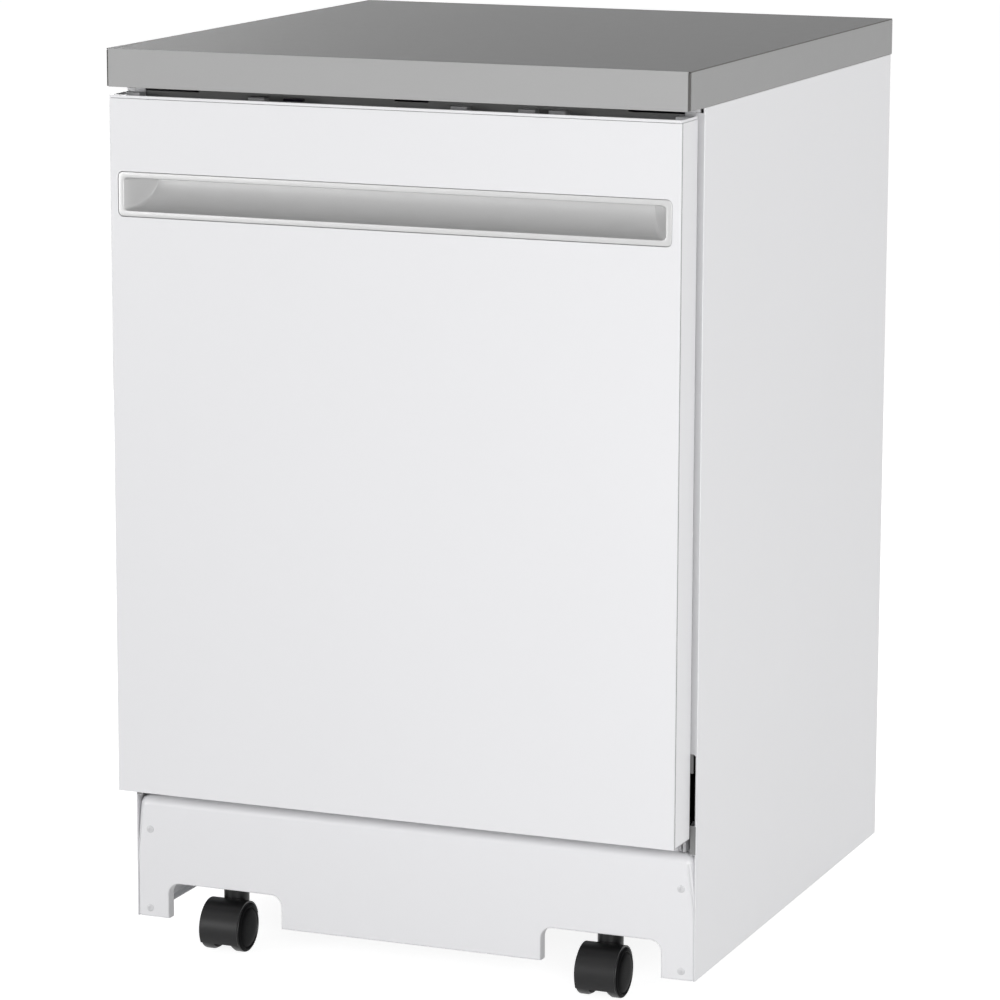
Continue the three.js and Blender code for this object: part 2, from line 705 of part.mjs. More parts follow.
function strike() {
  const plateY = [tubFront - GAP - SKIN, tubFront - GAP];
  const bottom = tubTop + GASKET_TOP_RISE + GASKET_WIDTH + 1;
  const plate = block(about(0, SLOT_HALF + STRIKE_LAP), plateY, [bottom, bottom + STRIKE_PLATE_HEIGHT]);
  const tongue = block(
    about(0, SLOT_HALF - 2 * TONGUE_CLEARANCE),
    [doorBack - STRIKE_REACH, plateY[0] + SKIN / 2],
    about(slotZ, SLOT_HEIGHT / 2 - TONGUE_CLEARANCE),
  );
  return join(plate, tongue);
}

// C-shaped channel on the tub's side wall, open towards the middle, for the upper rack's runner.
const railZ = upperBase + RAIL_RISE;
function rackRail(side) {
  const y = [linerFace + RAIL_SETBACK, tubBack - GAP];
  const outer = tubHalf - GAP;
  const height = RUNNER_HEIGHT + 2 * GAP;
  const channel = block(onSide(side, outer - RAIL_WIDTH, outer), y, [
    railZ - RAIL_WALL,
    railZ + height + RAIL_WALL,
  ]);
  const slot = block(
    onSide(side, outer - RAIL_WIDTH - 1, outer - RAIL_WALL),
    [y[0] - 1, y[1] + 1],
    [railZ, railZ + height],
  );
  return cut(channel, slot);
}

function addTub() {
  place(dishwasher, "tub", tub(), "tub_plastic");
  place(dishwasher, "tub_gasket", gasket(), "rubber");
  place(dishwasher, "latch_strike", strike(), "stainless");
  for (const [name, side] of Object.entries(SIDES))
    place(dishwasher, `rack_rail_${name}`, rackRail(side), "stainless");
}

// ---- Wash system -----------------------------------------------------------------------------------------

// A cup under the tub's floor, joined to the post that carries the lower spray arm.
function sump() {
  const top = tubUnder - GAP;
  const outer = SUMP_RADIUS + SUMP_WALL;
  const cup = turned(
    "z",
    [
      [0, SUMP_BOTTOM],
      [outer, SUMP_BOTTOM],
      [outer, top - SUMP_WALL],
      [SUMP_FLANGE, top - SUMP_WALL],
      [SUMP_FLANGE, top],
      [SUMP_RADIUS, top],
      [SUMP_RADIUS, SUMP_BOTTOM + SUMP_WALL],
      [0, SUMP_BOTTOM + SUMP_WALL],
    ],
    [SUMP_X, hubY],
    28,
  );
  const postTop = TUB_FLOOR + POST_RISE;
  const post = turned(
    "z",
    [
      [0, POST_FOOT],
      [POST_RADIUS, POST_FOOT],
      [POST_RADIUS, postTop],
      [SPIGOT_RADIUS, postTop],
      [SPIGOT_RADIUS, postTop + SPIGOT_HEIGHT],
      [0, postTop + SPIGOT_HEIGHT],
    ],
    [0, hubY],
    20,
  );
  const web = block(
    [0, SUMP_X - SUMP_RADIUS - SUMP_WALL / 2],
    about(hubY, SPIGOT_RADIUS),
    [POST_FOOT + 1, POST_FOOT + WEB_HEIGHT],
  );
  return join(cup, web, post);
}

function filterPlate() {
  const z = [tubUnder, TUB_FLOOR + 1];
  const place = [SUMP_X, hubY];
  return cut(
    rod("z", FILTER_PLATE_RADIUS, z, place, 28),
    rod("z", FILTER_RADIUS + 2 * GAP, [z[0] - 1, z[1] + 1], place, 28),
  );
}

// Stands on its own axis: a fine-mesh cup, open underneath, with a grip across the top.
function filterCylinder() {
  const bottom = SUMP_BOTTOM + SUMP_WALL + GAP;
  const cup = cut(
    rod("z", FILTER_RADIUS, [bottom, FILTER_TOP], [0, 0], 28),
    rod("z", FILTER_RADIUS - SKIN, [bottom - 1, FILTER_TOP - SUMP_WALL], [0, 0], 28),
  );
  const grip = block(about(0, FILTER_RADIUS / 2), about(0, 2 * SKIN), [
    FILTER_TOP - 1,
    FILTER_TOP + GRIP_HEIGHT,
  ]);
  return join(cup, grip);
}

// A spray arm about its own hub: it tapers to round tips, and its hub takes a spigot from below or above.
function sprayArm(length, hubRange, boreRange) {
  const end = length - ARM_TIP_RADIUS;
  const quarter = Math.PI / 2;
  const shape = new THREE.Shape();
  shape.moveTo(0, -ARM_HUB_RADIUS);
  shape.lineTo(end, -ARM_TIP_RADIUS);
  shape.absarc(end, 0, ARM_TIP_RADIUS, -quarter, quarter, false);
  shape.lineTo(0, ARM_HUB_RADIUS);
  shape.lineTo(-end, ARM_TIP_RADIUS);
  shape.absarc(-end, 0, ARM_TIP_RADIUS, quarter, 3 * quarter, false);
  shape.closePath();
  const blade = alongZ(shape, [0, ARM_HEIGHT]);
  const hub = rod("z", ARM_HUB_RADIUS - 1, hubRange, [0, 0]);
  return cut(join(blade, hub), rod("z", SPIGOT_RADIUS + GAP, boreRange, [0, 0]));
}

const standingArm = (length) => sprayArm(length, [1, ARM_HEIGHT + HUB_CAP], [-1, SPIGOT_HEIGHT]);
const hangingArm = (length) => sprayArm(length, [-HUB_SKIRT, ARM_HEIGHT - 1], [-GAP, ARM_HEIGHT + 1]);

function heater() {
  const radius = tubHalf - HEATER_CLEARANCE;
  const z = TUB_FLOOR + HEATER_RISE;
  const ring = solid(
    new THREE.TorusGeometry(radius, HEATER_TUBE, 6, 40).translate(0, hubY, z),
  );
  const feet = HEATER_FEET.map((degrees) => {
    const turn = THREE.MathUtils.degToRad(degrees);
    const x = radius * Math.cos(turn);
    const y = hubY + radius * Math.sin(turn);
    return block(about(x, HEATER_TUBE), about(y, HEATER_TUBE), [TUB_FLOOR + GAP, z]);
  });
  return join(ring, ...feet);
}

function floatCap() {
  const cap = turned(
    "z",
    [
      [0, GAP],
      [FLOAT_RADIUS, GAP],
      [FLOAT_RADIUS, FLOAT_SHOULDER],
      [FLOAT_TOP_RADIUS, FLOAT_HEIGHT],
      [0, FLOAT_HEIGHT],
    ],
    [0, 0],
    20,
  );
  return cut(cap, rod("z", FLOAT_PIN + GAP, [-1, FLOAT_BORE_DEPTH], [0, 0], 12));
}

// Up the back of the tub and forward under its ceiling, to the spigot of the top arm.
function waterConduit() {
  const back = tubBack - GAP;
  const end = hubY - CONDUIT_WIDTH / 2;
  const elbow = outline([
    [conduitFront, TUB_FLOOR + GAP],
    [back, TUB_FLOOR + GAP],
    [back, ceiling],
    [end, ceiling],
    [end, ceiling - CONDUIT_DEPTH],
    [conduitFront, ceiling - CONDUIT_DEPTH],
  ]);
  const spigotTop = ceiling - CONDUIT_DEPTH + 1;
  const spigot = rod("z", SPIGOT_RADIUS, [spigotTop - 1 - TOP_SPIGOT, spigotTop], [0, hubY]);
  return join(alongX(elbow, about(0, CONDUIT_WIDTH / 2)), spigot);
}

function washPump() {
  const nose = -POST_RADIUS - GAP;
  const shell = nose - PUMP_NOSE_LENGTH;
  return turned(
    "x",
    [
      [0, shell - WASH_PUMP_LENGTH],
      [WASH_MOTOR_RADIUS, shell - WASH_PUMP_LENGTH],
      [WASH_MOTOR_RADIUS, shell - WASH_HOUSING_LENGTH],
      [WASH_PUMP_RADIUS, shell - WASH_HOUSING_LENGTH],
      [WASH_PUMP_RADIUS, shell],
      [PUMP_NOSE, shell],
      [PUMP_NOSE, nose],
      [0, nose],
    ],
    [hubY, WASH_PUMP_Z],
  );
}

function drainPump() {
  const start = SUMP_X + SUMP_RADIUS + SUMP_WALL + GAP;
  return turned(
    "x",
    [
      [0, start],
      [PUMP_NOSE, start],
      [PUMP_NOSE, start + PUMP_NOSE],
      [DRAIN_PUMP_RADIUS, start + PUMP_NOSE],
      [DRAIN_PUMP_RADIUS, start + DRAIN_PUMP_LENGTH],
      [0, start + DRAIN_PUMP_LENGTH],
    ],
    [hubY, DRAIN_PUMP_Z],
  );
}

function inletValve() {
  const x = VALVE_INSET[0] - half;
  const y = rearPanelY[0] - VALVE_INSET[1];
  const [wide, deep, tall] = VALVE_SIZE;
  const bottom = baseTop + GAP;
  const body = block(about(x, wide / 2), about(y, deep / 2), [bottom, bottom + tall]);
  const port = rod("z", VALVE_PORT, [bottom + tall - 1, bottom + tall + 2 * VALVE_PORT], [x, y], 16);
  return join(body, port);
}

function addWashSystem() {
  const lowerArmZ = TUB_FLOOR + POST_RISE + GAP;
  const topArmZ = ceiling - CONDUIT_DEPTH - TOP_SPIGOT;
  place(dishwasher, "sump", sump(), "black_plastic");
  place(dishwasher, "filter_plate", filterPlate(), "stainless");
  place(dishwasher, "filter_cylinder", filterCylinder(), "white_plastic", [SUMP_X, hubY, 0]);
  place(
    dishwasher,
    "lower_spray_arm",
    standingArm(tubHalf - LOWER_ARM_CLEARANCE),
    "tub_plastic",
    [0, hubY, lowerArmZ],
  );
  place(
    dishwasher,
    "top_spray_arm",
    hangingArm(TOP_ARM_LENGTH),
    "tub_plastic",
    [0, hubY, topArmZ],
  );
  place(dishwasher, "heater_element", heater(), "stainless");
  place(dishwasher, "overfill_float", floatCap(), "white_plastic", [...floatPlace, TUB_FLOOR]);
  place(dishwasher, "water_conduit", waterConduit(), "tub_plastic");
  place(dishwasher, "circulation_pump", washPump(), "black_plastic");
  place(dishwasher, "drain_pump", drainPump(), "white_plastic");
  place(dishwasher, "inlet_valve", inletValve(), "white_plastic");
}

// ---- Racks -----------------------------------------------------------------------------------------------

// An open basket of square wire about the middle of its own base: thick rims above and below, and finer
// uprights and floor wires, which lie a little above each other where they cross.
function wireBasket(reach, height) {
  const deep = rackDepth / 2;
  const rimX = reach - WIRE / 2;
  const rimY = deep - WIRE / 2;
  const fine = (at) => about(at, FINE_WIRE / 2);
  const upright = (x, y) => block(about(x, UPRIGHT_WIRE / 2), about(y, UPRIGHT_WIRE / 2), [1, height - 1]);
  const rim = (z) =>
    cut(
      block(about(0, reach), about(0, deep), [z, z + WIRE]),
      block(about(0, reach - WIRE), about(0, deep - WIRE), [z - 1, z + WIRE + 1]),
    );
  const bars = [rim(0), rim(height - WIRE)];
  for (const y of spread(CROSS_WIRES, -rimY, rimY)) bars.push(upright(-rimX, y), upright(rimX, y));
  for (const y of spread(CROSS_WIRES, -rimY, rimY).slice(1, -1))
    bars.push(block(about(0, rimX), fine(y), fine(WIRE / 2 - WIRE_STEP)));
  for (const x of spread(LONG_WIRES, -rimX, rimX).slice(1, -1)) {
    bars.push(upright(x, -rimY), upright(x, rimY));
    bars.push(block(fine(x), about(0, rimY), fine(WIRE / 2 + WIRE_STEP)));
  }
  return join(...bars);
}

function upperRack() {
  const runnerZ = railZ + GAP - upperBase;
  const outer = tubHalf - 2 * GAP - RAIL_WALL;
  const runners = Object.values(SIDES).map((side) =>
    block(
      onSide(side, upperHalf - WIRE / 2, outer),
      [-rackDepth / 2, rackDepth / 2 + RUNNER_REACH],
      [runnerZ, runnerZ + RUNNER_HEIGHT],
    ),
  );
  return join(wireBasket(upperHalf, UPPER_HEIGHT), ...runners);
}

const rackWheelX = lowerHalf + RACK_WHEEL_STANDOFF;
function lowerRack() {
  const axles = Object.values(SIDES).flatMap((side) =>
    rackWheelY.map((y) =>
      rod(
        "x",
        RACK_AXLE_RADIUS,
        onSide(side, lowerHalf - WIRE / 2, rackWheelX + RACK_WHEEL_WIDTH + RACK_AXLE_END),
        [y - rackMiddle, WIRE / 2],
        12,
      ),
    ),
  );
  return join(wireBasket(lowerHalf, LOWER_HEIGHT), ...axles);
}

function rackWheel() {
  const width = [-RACK_WHEEL_WIDTH / 2, RACK_WHEEL_WIDTH / 2];
  return cut(
    rod("x", RACK_WHEEL_RADIUS, width, [0, 0], 24),
    rod("x", RACK_AXLE_RADIUS + GAP, [width[0] - 1, width[1] + 1], [0, 0], 12),
  );
}

function silverwareBasket() {
  const bottom = lowerBase + WIRE + GAP;
  const z = [bottom, bottom + BASKET_HEIGHT];
  const x = [lowerHalf - BASKET_INSET - BASKET_WIDTH, lowerHalf - BASKET_INSET];
  const front = rackFront + BASKET_SETBACK;
  const pitch = (BASKET_LENGTH - BASKET_WALL) / BASKET_CELLS;
  let basket = block(x, [front, front + BASKET_LENGTH], z);
  for (let i = 0; i < BASKET_CELLS; i++) {
    const start = front + BASKET_WALL + i * pitch;
    const cell = block(
      [x[0] + BASKET_WALL, x[1] - BASKET_WALL],
      [start, start + pitch - BASKET_WALL],
      [bottom + BASKET_WALL, z[1] + 1],
    );
    basket = cut(basket, cell);
  }
  return basket;
}

// Clipped under the upper rack, from the conduit's port to the middle arm.
function feedPipe() {
  const top = upperBase - GAP;
  const across = about(0, CONDUIT_WIDTH / 2);
  const run = block(across, [hubY - CONDUIT_WIDTH / 2, conduitFront - GAP], [top - FEED_HEIGHT, top]);
  const bottom = top - FEED_HEIGHT - TOP_SPIGOT;
  return join(run, rod("z", SPIGOT_RADIUS, [bottom, top - 1], [0, hubY]));
}

function addRacks() {
  place(dishwasher, "upper_rack", upperRack(), "coated_wire", [0, rackMiddle, upperBase]);
  place(dishwasher, "upper_feed_pipe", feedPipe(), "tub_plastic");
  place(
    dishwasher,
    "middle_spray_arm",
    hangingArm(tubHalf - MIDDLE_ARM_CLEARANCE),
    "tub_plastic",
    [0, hubY, upperBase - GAP - FEED_HEIGHT - TOP_SPIGOT],
  );
  place(dishwasher, "lower_rack", lowerRack(), "coated_wire", [0, rackMiddle, lowerBase]);
  place(dishwasher, "silverware_basket", silverwareBasket(), "tub_plastic");
  for (const [sideName, side] of Object.entries(SIDES))
    for (const [end, y] of Object.entries({ front: rackWheelY[0], rear: rackWheelY[1] }))
      place(dishwasher, `rack_wheel_${end}_${sideName}`, rackWheel(), "white_plastic", [
        side * (rackWheelX + GAP + RACK_WHEEL_WIDTH / 2),
        y,
        lowerBase + WIRE / 2,
      ]);
}

// ---- Hinges ----------------------------------------------------------------------------------------------

function hingeBracket(side) {
  const foot = baseTop + GAP;
  const front = baseY[0] + TUCK;
  const back = baseY[0] + BRACKET_FOOT;
  const nose = pin.y - BRACKET_NOSE;
  const shape = outline([
    [front, foot],
    [back, foot],
    [back, pin.z + BRACKET_RISE],
    [nose, pin.z + BRACKET_NOSE],
    [nose, pin.z - BRACKET_NOSE],
    [front, pin.z - BRACKET_NOSE],
  ]);
  const x = onSide(side, bracketPlace, bracketPlace + ARM_THICKNESS);
  const base = block(
    onSide(side, bracketPlace + 1, cabinetInside - GAP),
    [front + TUCK, back - TUCK],
    [foot + TUCK, foot + TUCK + SKIN],
  );
  const reach = onSide(side, armPlace - SKIN, bracketPlace + 1);
  return join(alongX(shape, x), base, rod("x", PIN_RADIUS, reach, [pin.y, pin.z], 16));
}

// From the pin the arm goes up, forward over the door's bottom return and up inside the door. A tail behind
// the pin takes the spring.
function hingeArm(side) {
  const x = onSide(side, armPlace, armPlace + ARM_THICKNESS);
  const inDoor = [pin.y - ARM_SETBACK - ARM_WIDTH, pin.y - ARM_SETBACK];
  const knee = ARM_UNDERSIDE + ARM_WIDTH;
  const top = pin.z + ARM_LENGTH;
  const limb = outline([
    [pin.y - BOSS_RADIUS, pin.z],
    [pin.y + BOSS_RADIUS, pin.z],
    [pin.y + BOSS_RADIUS, pin.z + ARM_UNDERSIDE],
    [pin.y - TAIL_RADIUS, pin.z + knee],
    [inDoor[1], pin.z + knee + BOSS_RADIUS],
    [inDoor[1], top],
    [inDoor[0], top],
    [inDoor[0], pin.z + ARM_UNDERSIDE],
    [pin.y - BOSS_RADIUS, pin.z + ARM_UNDERSIDE],
  ]);
  const thin = [x[0] + TUCK, x[1] - TUCK];
  const tail = block(thin, [pin.y, pin.y + TAIL_LENGTH], about(pin.z, TAIL_RADIUS - TUCK));
  const flange = block(
    onSide(side, armPlace + 1, doorInside),
    [inDoor[0] + TUCK, inDoor[0] + TUCK + SKIN],
    [pin.z + knee + ARM_WIDTH, top - TUCK],
  );
  const whole = join(
    alongX(limb, x),
    rod("x", BOSS_RADIUS, [x[0] - TUCK, x[1] + TUCK], [pin.y, pin.z]),
    tail,
    rod("x", TAIL_RADIUS, x, [pin.y + TAIL_LENGTH, pin.z], 16),
    flange,
  );
  return cut(whole, rod("x", PIN_RADIUS + GAP, onSide(side, armPlace - 1, doorInside), [pin.y, pin.z], 16));
}

// A close-wound extension spring, hooked to the base frame below and to the arm's tail above.
function doorSpring(side) {
  const low = baseTop + GAP;
  const high = pin.z - TAIL_RADIUS - GAP;
  const start = low + SPRING_HOOK;
  const pitch = (high - SPRING_HOOK - start) / SPRING_TURNS;
  const profile = [[0, low], [HOOK_RADIUS, low], [HOOK_RADIUS, start]];
  for (let i = 0; i < SPRING_TURNS; i++)
    profile.push(
      [SPRING_GROOVE, start + i * pitch],
      [SPRING_RADIUS, start + (i + 0.5) * pitch],
    );
  profile.push([SPRING_GROOVE, high - SPRING_HOOK], [HOOK_RADIUS, high - SPRING_HOOK]);
  profile.push([HOOK_RADIUS, high], [0, high]);
  const x = side * (armPlace + ARM_THICKNESS / 2);
  return turned("z", profile, [x, pin.y + TAIL_LENGTH], 10);
}

// ---- Door ------------------------------------------------------------------------------------------------

const handleZ = [doorTop - HANDLE_DROP - HANDLE_HEIGHT, doorTop - HANDLE_DROP];

function doorOuterPanel() {
  const z = [DOOR_BOTTOM, doorTop];
  const tray = cut(
    block(about(0, doorHalf), [doorFace, doorBack], z),
    block(
      about(0, doorHalf - SKIN),
      [doorFace + SKIN, doorBack + 1],
      [z[0] + SKIN, z[1] + 1],
    ),
  );
  const lip = block(
    about(0, doorHalf - SKIN / 2),
    [doorFace + SKIN / 2, doorFace + DOOR_TOP_LIP],
    [z[1] - SKIN - TUCK, z[1] - TUCK],
  );
  const opening = block(
    about(0, handleHalf + GAP),
    [doorFace - 1, doorFace + SKIN + 1],
    [handleZ[0] - GAP, handleZ[1] + GAP],
  );
  return cut(join(tray, lip), opening);
}

// The scooped hollow of the handle, grown by a wall: deep at the top, a quarter ellipse to its bottom lip,
// with end walls that lean in.
function scoop(wall) {
  const front = doorFace - 1;
  const top = handleZ[1] - HANDLE_BORDER;
  const drop = HANDLE_HEIGHT - 2 * HANDLE_BORDER + wall;
  const deep = POCKET_DEPTH + wall;
  const section = [[front, top + wall], [doorFace + deep, top + wall]];
  for (let i = 1; i <= POCKET_FACETS; i++) {
    const turn = (Math.PI / 2) * (1 - i / POCKET_FACETS);
    section.push([doorFace + deep * Math.sin(turn), top - drop * Math.cos(turn)]);
  }
  section.push([front, top - drop]);
  const reach = handleHalf - HANDLE_BORDER + wall;
  const plan = outline([
    [-reach, front],
    [reach, front],
    [reach, doorFace + 1],
    [reach - POCKET_SLANT, doorFace + deep + 1],
    [-reach + POCKET_SLANT, doorFace + deep + 1],
    [-reach, doorFace + 1],
  ]);
  return alongX(outline(section), about(0, reach + 1)).intersect(
    alongZ(plan, [handleZ[0] - wall, handleZ[1] + wall]),
  );
}

function pocketHandle() {
  const bezel = block(about(0, handleHalf), [doorFace, doorFace + BEZEL_THICKNESS], handleZ);
  const ahead = [doorFace - 2, doorFace + BEZEL_THICKNESS / 2];
  const shell = cut(scoop(POCKET_WALL), block(about(0, handleHalf), ahead, handleZ));
  return cut(join(bezel, shell), scoop(0));
}

function doorInnerPanel() {
  const rimZ = [DOOR_BOTTOM + SKIN + GAP, consoleBottom - GAP];
  const rim = block(about(0, doorInside), rimY, rimZ);
  const raised = block(about(0, linerHalf), [rimY[0] + SKIN / 2, linerFace], linerZ);
  const hollow = block(
    about(0, linerHalf - SKIN),
    [rimY[0] - 1, linerFace - SKIN],
    [linerZ[0] + SKIN, linerZ[1] - SKIN],
  );
  const armNotches = Object.values(SIDES).map((side) =>
    block(
      onSide(side, doorInside - ARM_NOTCH, doorInside + 1),
      [rimY[0] - 1, rimY[1] + 1],
      [rimZ[0] - 1, DOOR_BOTTOM + ARM_NOTCH_RISE],
    ),
  );
  const dispenserHole = block(
    about(0, DISPENSER_HALF - DISPENSER_BORDER),
    [linerFace - SKIN - 1, linerFace + 1],
    [dispenserZ[0] + DISPENSER_BORDER, dispenserZ[1] - DISPENSER_BORDER],
  );
  return cut(join(rim, raised), hollow, ...armNotches, dispenserHole);
}

const buttonY = about(doorBack - BUTTON_SETBACK - CONSOLE_WALL, BUTTON_LENGTH / 2);

function controlPanel() {
  const y = [doorFace + DOOR_TOP_LIP + GAP, doorBack - GAP];
  const z = [consoleBottom, consoleTop];
  const across = about(0, doorInside);
  const under = z[1] - CONSOLE_WALL;
  const section = outline([
    [y[0], z[0]],
    [y[0] + CONSOLE_WALL, z[0]],
    [y[0] + CONSOLE_WALL, under],
    [y[1] - CONSOLE_WALL, under],
    [y[1] - CONSOLE_WALL, z[0]],
    [y[1], z[0]],
    [y[1], z[1]],
    [y[0], z[1]],
  ]);
  const channel = alongX(section, across);
  const hole = (x, width) =>
    block(
      about(x, width / 2 + GAP),
      [buttonY[0] - GAP, buttonY[1] + GAP],
      [z[1] - CONSOLE_WALL - 1, z[1] + 1],
    );
  const latchGap = block(
    about(0, LATCH_HALF + GAP),
    [y[1] - CONSOLE_WALL - 1, y[1] + 1],
    [z[0] - 1, under],
  );
  return cut(
    channel,
    ...BUTTON_PLACES.map((x) => hole(x, BUTTON_WIDTH)),
    hole(WINDOW_PLACE, WINDOW_WIDTH),
    latchGap,
  );
}

function doorLatch() {
  const y = [doorBack - GAP - LATCH_DEPTH, doorBack - GAP];
  const housing = block(about(0, LATCH_HALF), y, [
    consoleBottom + GAP,
    consoleTop - CONSOLE_WALL - GAP,
  ]);
  const slot = block(about(0, SLOT_HALF), [y[0] - 1, y[1] + 1], about(slotZ, SLOT_HEIGHT / 2));
  return cut(housing, slot);
}

function dispenserBody() {
  const plateY = [linerFace + GAP, linerFace + GAP + DISPENSER_PLATE];
  const border = DISPENSER_BORDER + GAP;
  const plate = block(about(0, DISPENSER_HALF), plateY, dispenserZ);
  const back = block(
    about(0, DISPENSER_HALF - border),
    [plateY[0] - DISPENSER_DEPTH, plateY[0] + 1],
    [dispenserZ[0] + border, dispenserZ[1] - border],
  );
  const cup = block(CUP_X, [plateY[1] - CUP_DEPTH, plateY[1] + 1], cupZ);
  return cut(join(plate, back), cup);
}

const dispenserFace = linerFace + 2 * GAP + DISPENSER_PLATE;

function dispenserLid() {
  return block(
    [CUP_X[0] - LID_LAP, CUP_X[1] + LID_LAP],
    [dispenserFace, dispenserFace + LID_THICKNESS],
    [cupZ[0] - LID_LAP, cupZ[1] + LID_LAP],
  );
}

// A round cap with a grip bar, about its own axis.
function rinseCap() {
  const disc = rod("y", CAP_RADIUS, [0, CAP_HEIGHT / 2], [0, 0]);
  const grip = block(about(0, CAP_GRIP[0]), [CAP_HEIGHT / 2 - 1, CAP_HEIGHT], about(0, CAP_GRIP[1]));
  return join(disc, grip);
}

function addDoor() {
  const door = group(dishwasher, 0, 0, 0);
  place(door, "door_outer_panel", doorOuterPanel(), "white_enamel");
  place(door, "pocket_handle", pocketHandle(), "handle_grey");
  place(door, "door_inner_panel", doorInnerPanel(), "tub_plastic");
  place(door, "control_panel", controlPanel(), "dark_plastic");
  place(door, "door_latch", doorLatch(), "black_plastic");
  place(door, "dispenser_body", dispenserBody(), "tub_plastic");
  place(door, "dispenser_lid", dispenserLid(), "tub_plastic");
  place(door, "rinse_aid_cap", rinseCap(), "black_plastic", [CAP_X, dispenserFace, dispenserFoot + CAP_RISE]);
  for (const [name, side] of Object.entries(SIDES)) {
    place(door, `hinge_arm_${name}`, hingeArm(side), "zinc_steel");
    place(dishwasher, `hinge_bracket_${name}`, hingeBracket(side), "zinc_steel");
    place(dishwasher, `door_spring_${name}`, doorSpring(side), "stainless");
  }
  const cap = (width, depth) =>
    block(about(0, width / 2), about(0, BUTTON_LENGTH / 2), [-depth, BUTTON_PROUD]);
  const seatY = (buttonY[0] + buttonY[1]) / 2;
  BUTTON_PLACES.forEach((x, i) =>
    place(door, `button_${i + 1}`, cap(BUTTON_WIDTH, BUTTON_DEPTH), "dark_plastic", [x, seatY, consoleTop]),
  );
  place(door, "display_window", cap(WINDOW_WIDTH, WINDOW_THICKNESS), "window", [
    WINDOW_PLACE,
    seatY,
    consoleTop,
  ]);
}

// ---- Casters ---------------------------------------------------------------------------------------------

// About the swivel stem, with the wheels ahead of it: a web between the wheels, a fender over them, a collar
// and the stem.
function casterHood() {
  const wheelY = -CASTER_TRAIL;
  const inner = WHEEL_RADIUS + HOOD_GAP;
  const outer = inner + HOOD_WALL;
  const arc = (radius, from, to) =>
    spread(FENDER_POINTS, from, to).map((degrees) => {
      const turn = THREE.MathUtils.degToRad(degrees);
      return [wheelY + radius * Math.cos(turn), WHEEL_RADIUS + radius * Math.sin(turn)];
    });
  const [rear, front] = FENDER_ARC;
  const fender = outline([...arc(outer, rear, front), ...arc(inner, front, rear)]);
  const webShape = outline([
    ...arc(outer - TUCK, rear, front),
    [wheelY - AXLE_HUB, WHEEL_RADIUS - AXLE_HUB],
    [wheelY + AXLE_HUB, WHEEL_RADIUS - AXLE_HUB],
  ]);
  const web = alongX(webShape, about(0, WHEEL_SPLIT / 2 - GAP));
  const cover = alongX(fender, about(0, WHEELSET_WIDTH / 2));
  const collarTop = BASE_UNDERSIDE - GAP;
  const neck = cut(
    rod("z", COLLAR_RADIUS, [WHEEL_RADIUS, collarTop], [0, 0]),
    rod("x", inner, about(0, WHEELSET_WIDTH), [wheelY, WHEEL_RADIUS], 32),
  );
  const stem = rod("z", STEM_RADIUS, [collarTop - 1, STEM_TOP], [0, 0], 16);
  const bore = rod("x", AXLE_RADIUS + GAP, about(0, WHEEL_SPLIT), [wheelY, WHEEL_RADIUS], 16);
  return cut(join(web, cover, neck, stem), bore);
}

// Two wheels on one axle, about the axle's middle.
function wheelset() {
  const face = WHEELSET_WIDTH / 2;
  const inside = WHEEL_SPLIT / 2;
  const right = [
    [AXLE_RADIUS, inside],
    [WHEEL_RADIUS - WHEEL_CHAMFER, inside],
    [WHEEL_RADIUS, inside + WHEEL_CHAMFER],
    [WHEEL_RADIUS, face - WHEEL_CHAMFER],
    [WHEEL_RADIUS - WHEEL_CHAMFER, face - WHEEL_DOME],
    [AXLE_HUB, face],
    [0, face],
  ];
  const left = right.map(([radius, x]) => [radius, -x]).reverse();
  return turned("x", [...left, ...right], [0, 0], 28);
}

function addCasters() {
  for (const { name, x, y } of stemPlaces()) {
    const caster = group(dishwasher, x, y, 0);
    place(caster, `caster_hood_${name}`, casterHood(), "black_plastic");
    place(caster, `caster_wheels_${name}`, wheelset(), "black_plastic", [0, -CASTER_TRAIL, WHEEL_RADIUS]);
  }
}

addWorktop();
addCabinet();
addTub();
addWashSystem();
addRacks();
addDoor();
addCasters();

export default dishwasher;
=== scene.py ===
import json
from contextlib import contextmanager
from math import cos, pi, radians, sin

import bmesh
import bpy
from mathutils import Matrix, Vector


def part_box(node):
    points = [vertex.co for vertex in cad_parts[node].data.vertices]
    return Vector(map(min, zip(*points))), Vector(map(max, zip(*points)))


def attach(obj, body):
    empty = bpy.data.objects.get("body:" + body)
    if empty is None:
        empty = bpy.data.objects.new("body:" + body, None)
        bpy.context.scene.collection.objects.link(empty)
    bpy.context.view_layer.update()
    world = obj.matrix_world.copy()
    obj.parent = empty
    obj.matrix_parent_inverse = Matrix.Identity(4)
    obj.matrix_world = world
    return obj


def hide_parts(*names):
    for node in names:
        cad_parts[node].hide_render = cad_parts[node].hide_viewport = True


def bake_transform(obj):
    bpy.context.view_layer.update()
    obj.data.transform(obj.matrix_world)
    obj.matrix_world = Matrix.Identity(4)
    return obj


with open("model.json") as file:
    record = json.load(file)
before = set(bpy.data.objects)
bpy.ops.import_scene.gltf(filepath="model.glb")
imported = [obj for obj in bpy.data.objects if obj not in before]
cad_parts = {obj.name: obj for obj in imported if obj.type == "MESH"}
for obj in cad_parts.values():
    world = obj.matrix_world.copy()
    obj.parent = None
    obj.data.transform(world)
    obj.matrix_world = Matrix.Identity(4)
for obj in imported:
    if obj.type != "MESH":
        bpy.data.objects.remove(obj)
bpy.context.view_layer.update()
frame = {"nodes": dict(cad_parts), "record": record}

X, Y, Z = Vector((1, 0, 0)), Vector((0, 1, 0)), Vector((0, 0, 1))
SIDES = {"left": -1, "right": 1}
ENDS = ("front", "rear")


# ---- Camera, light and floor ----

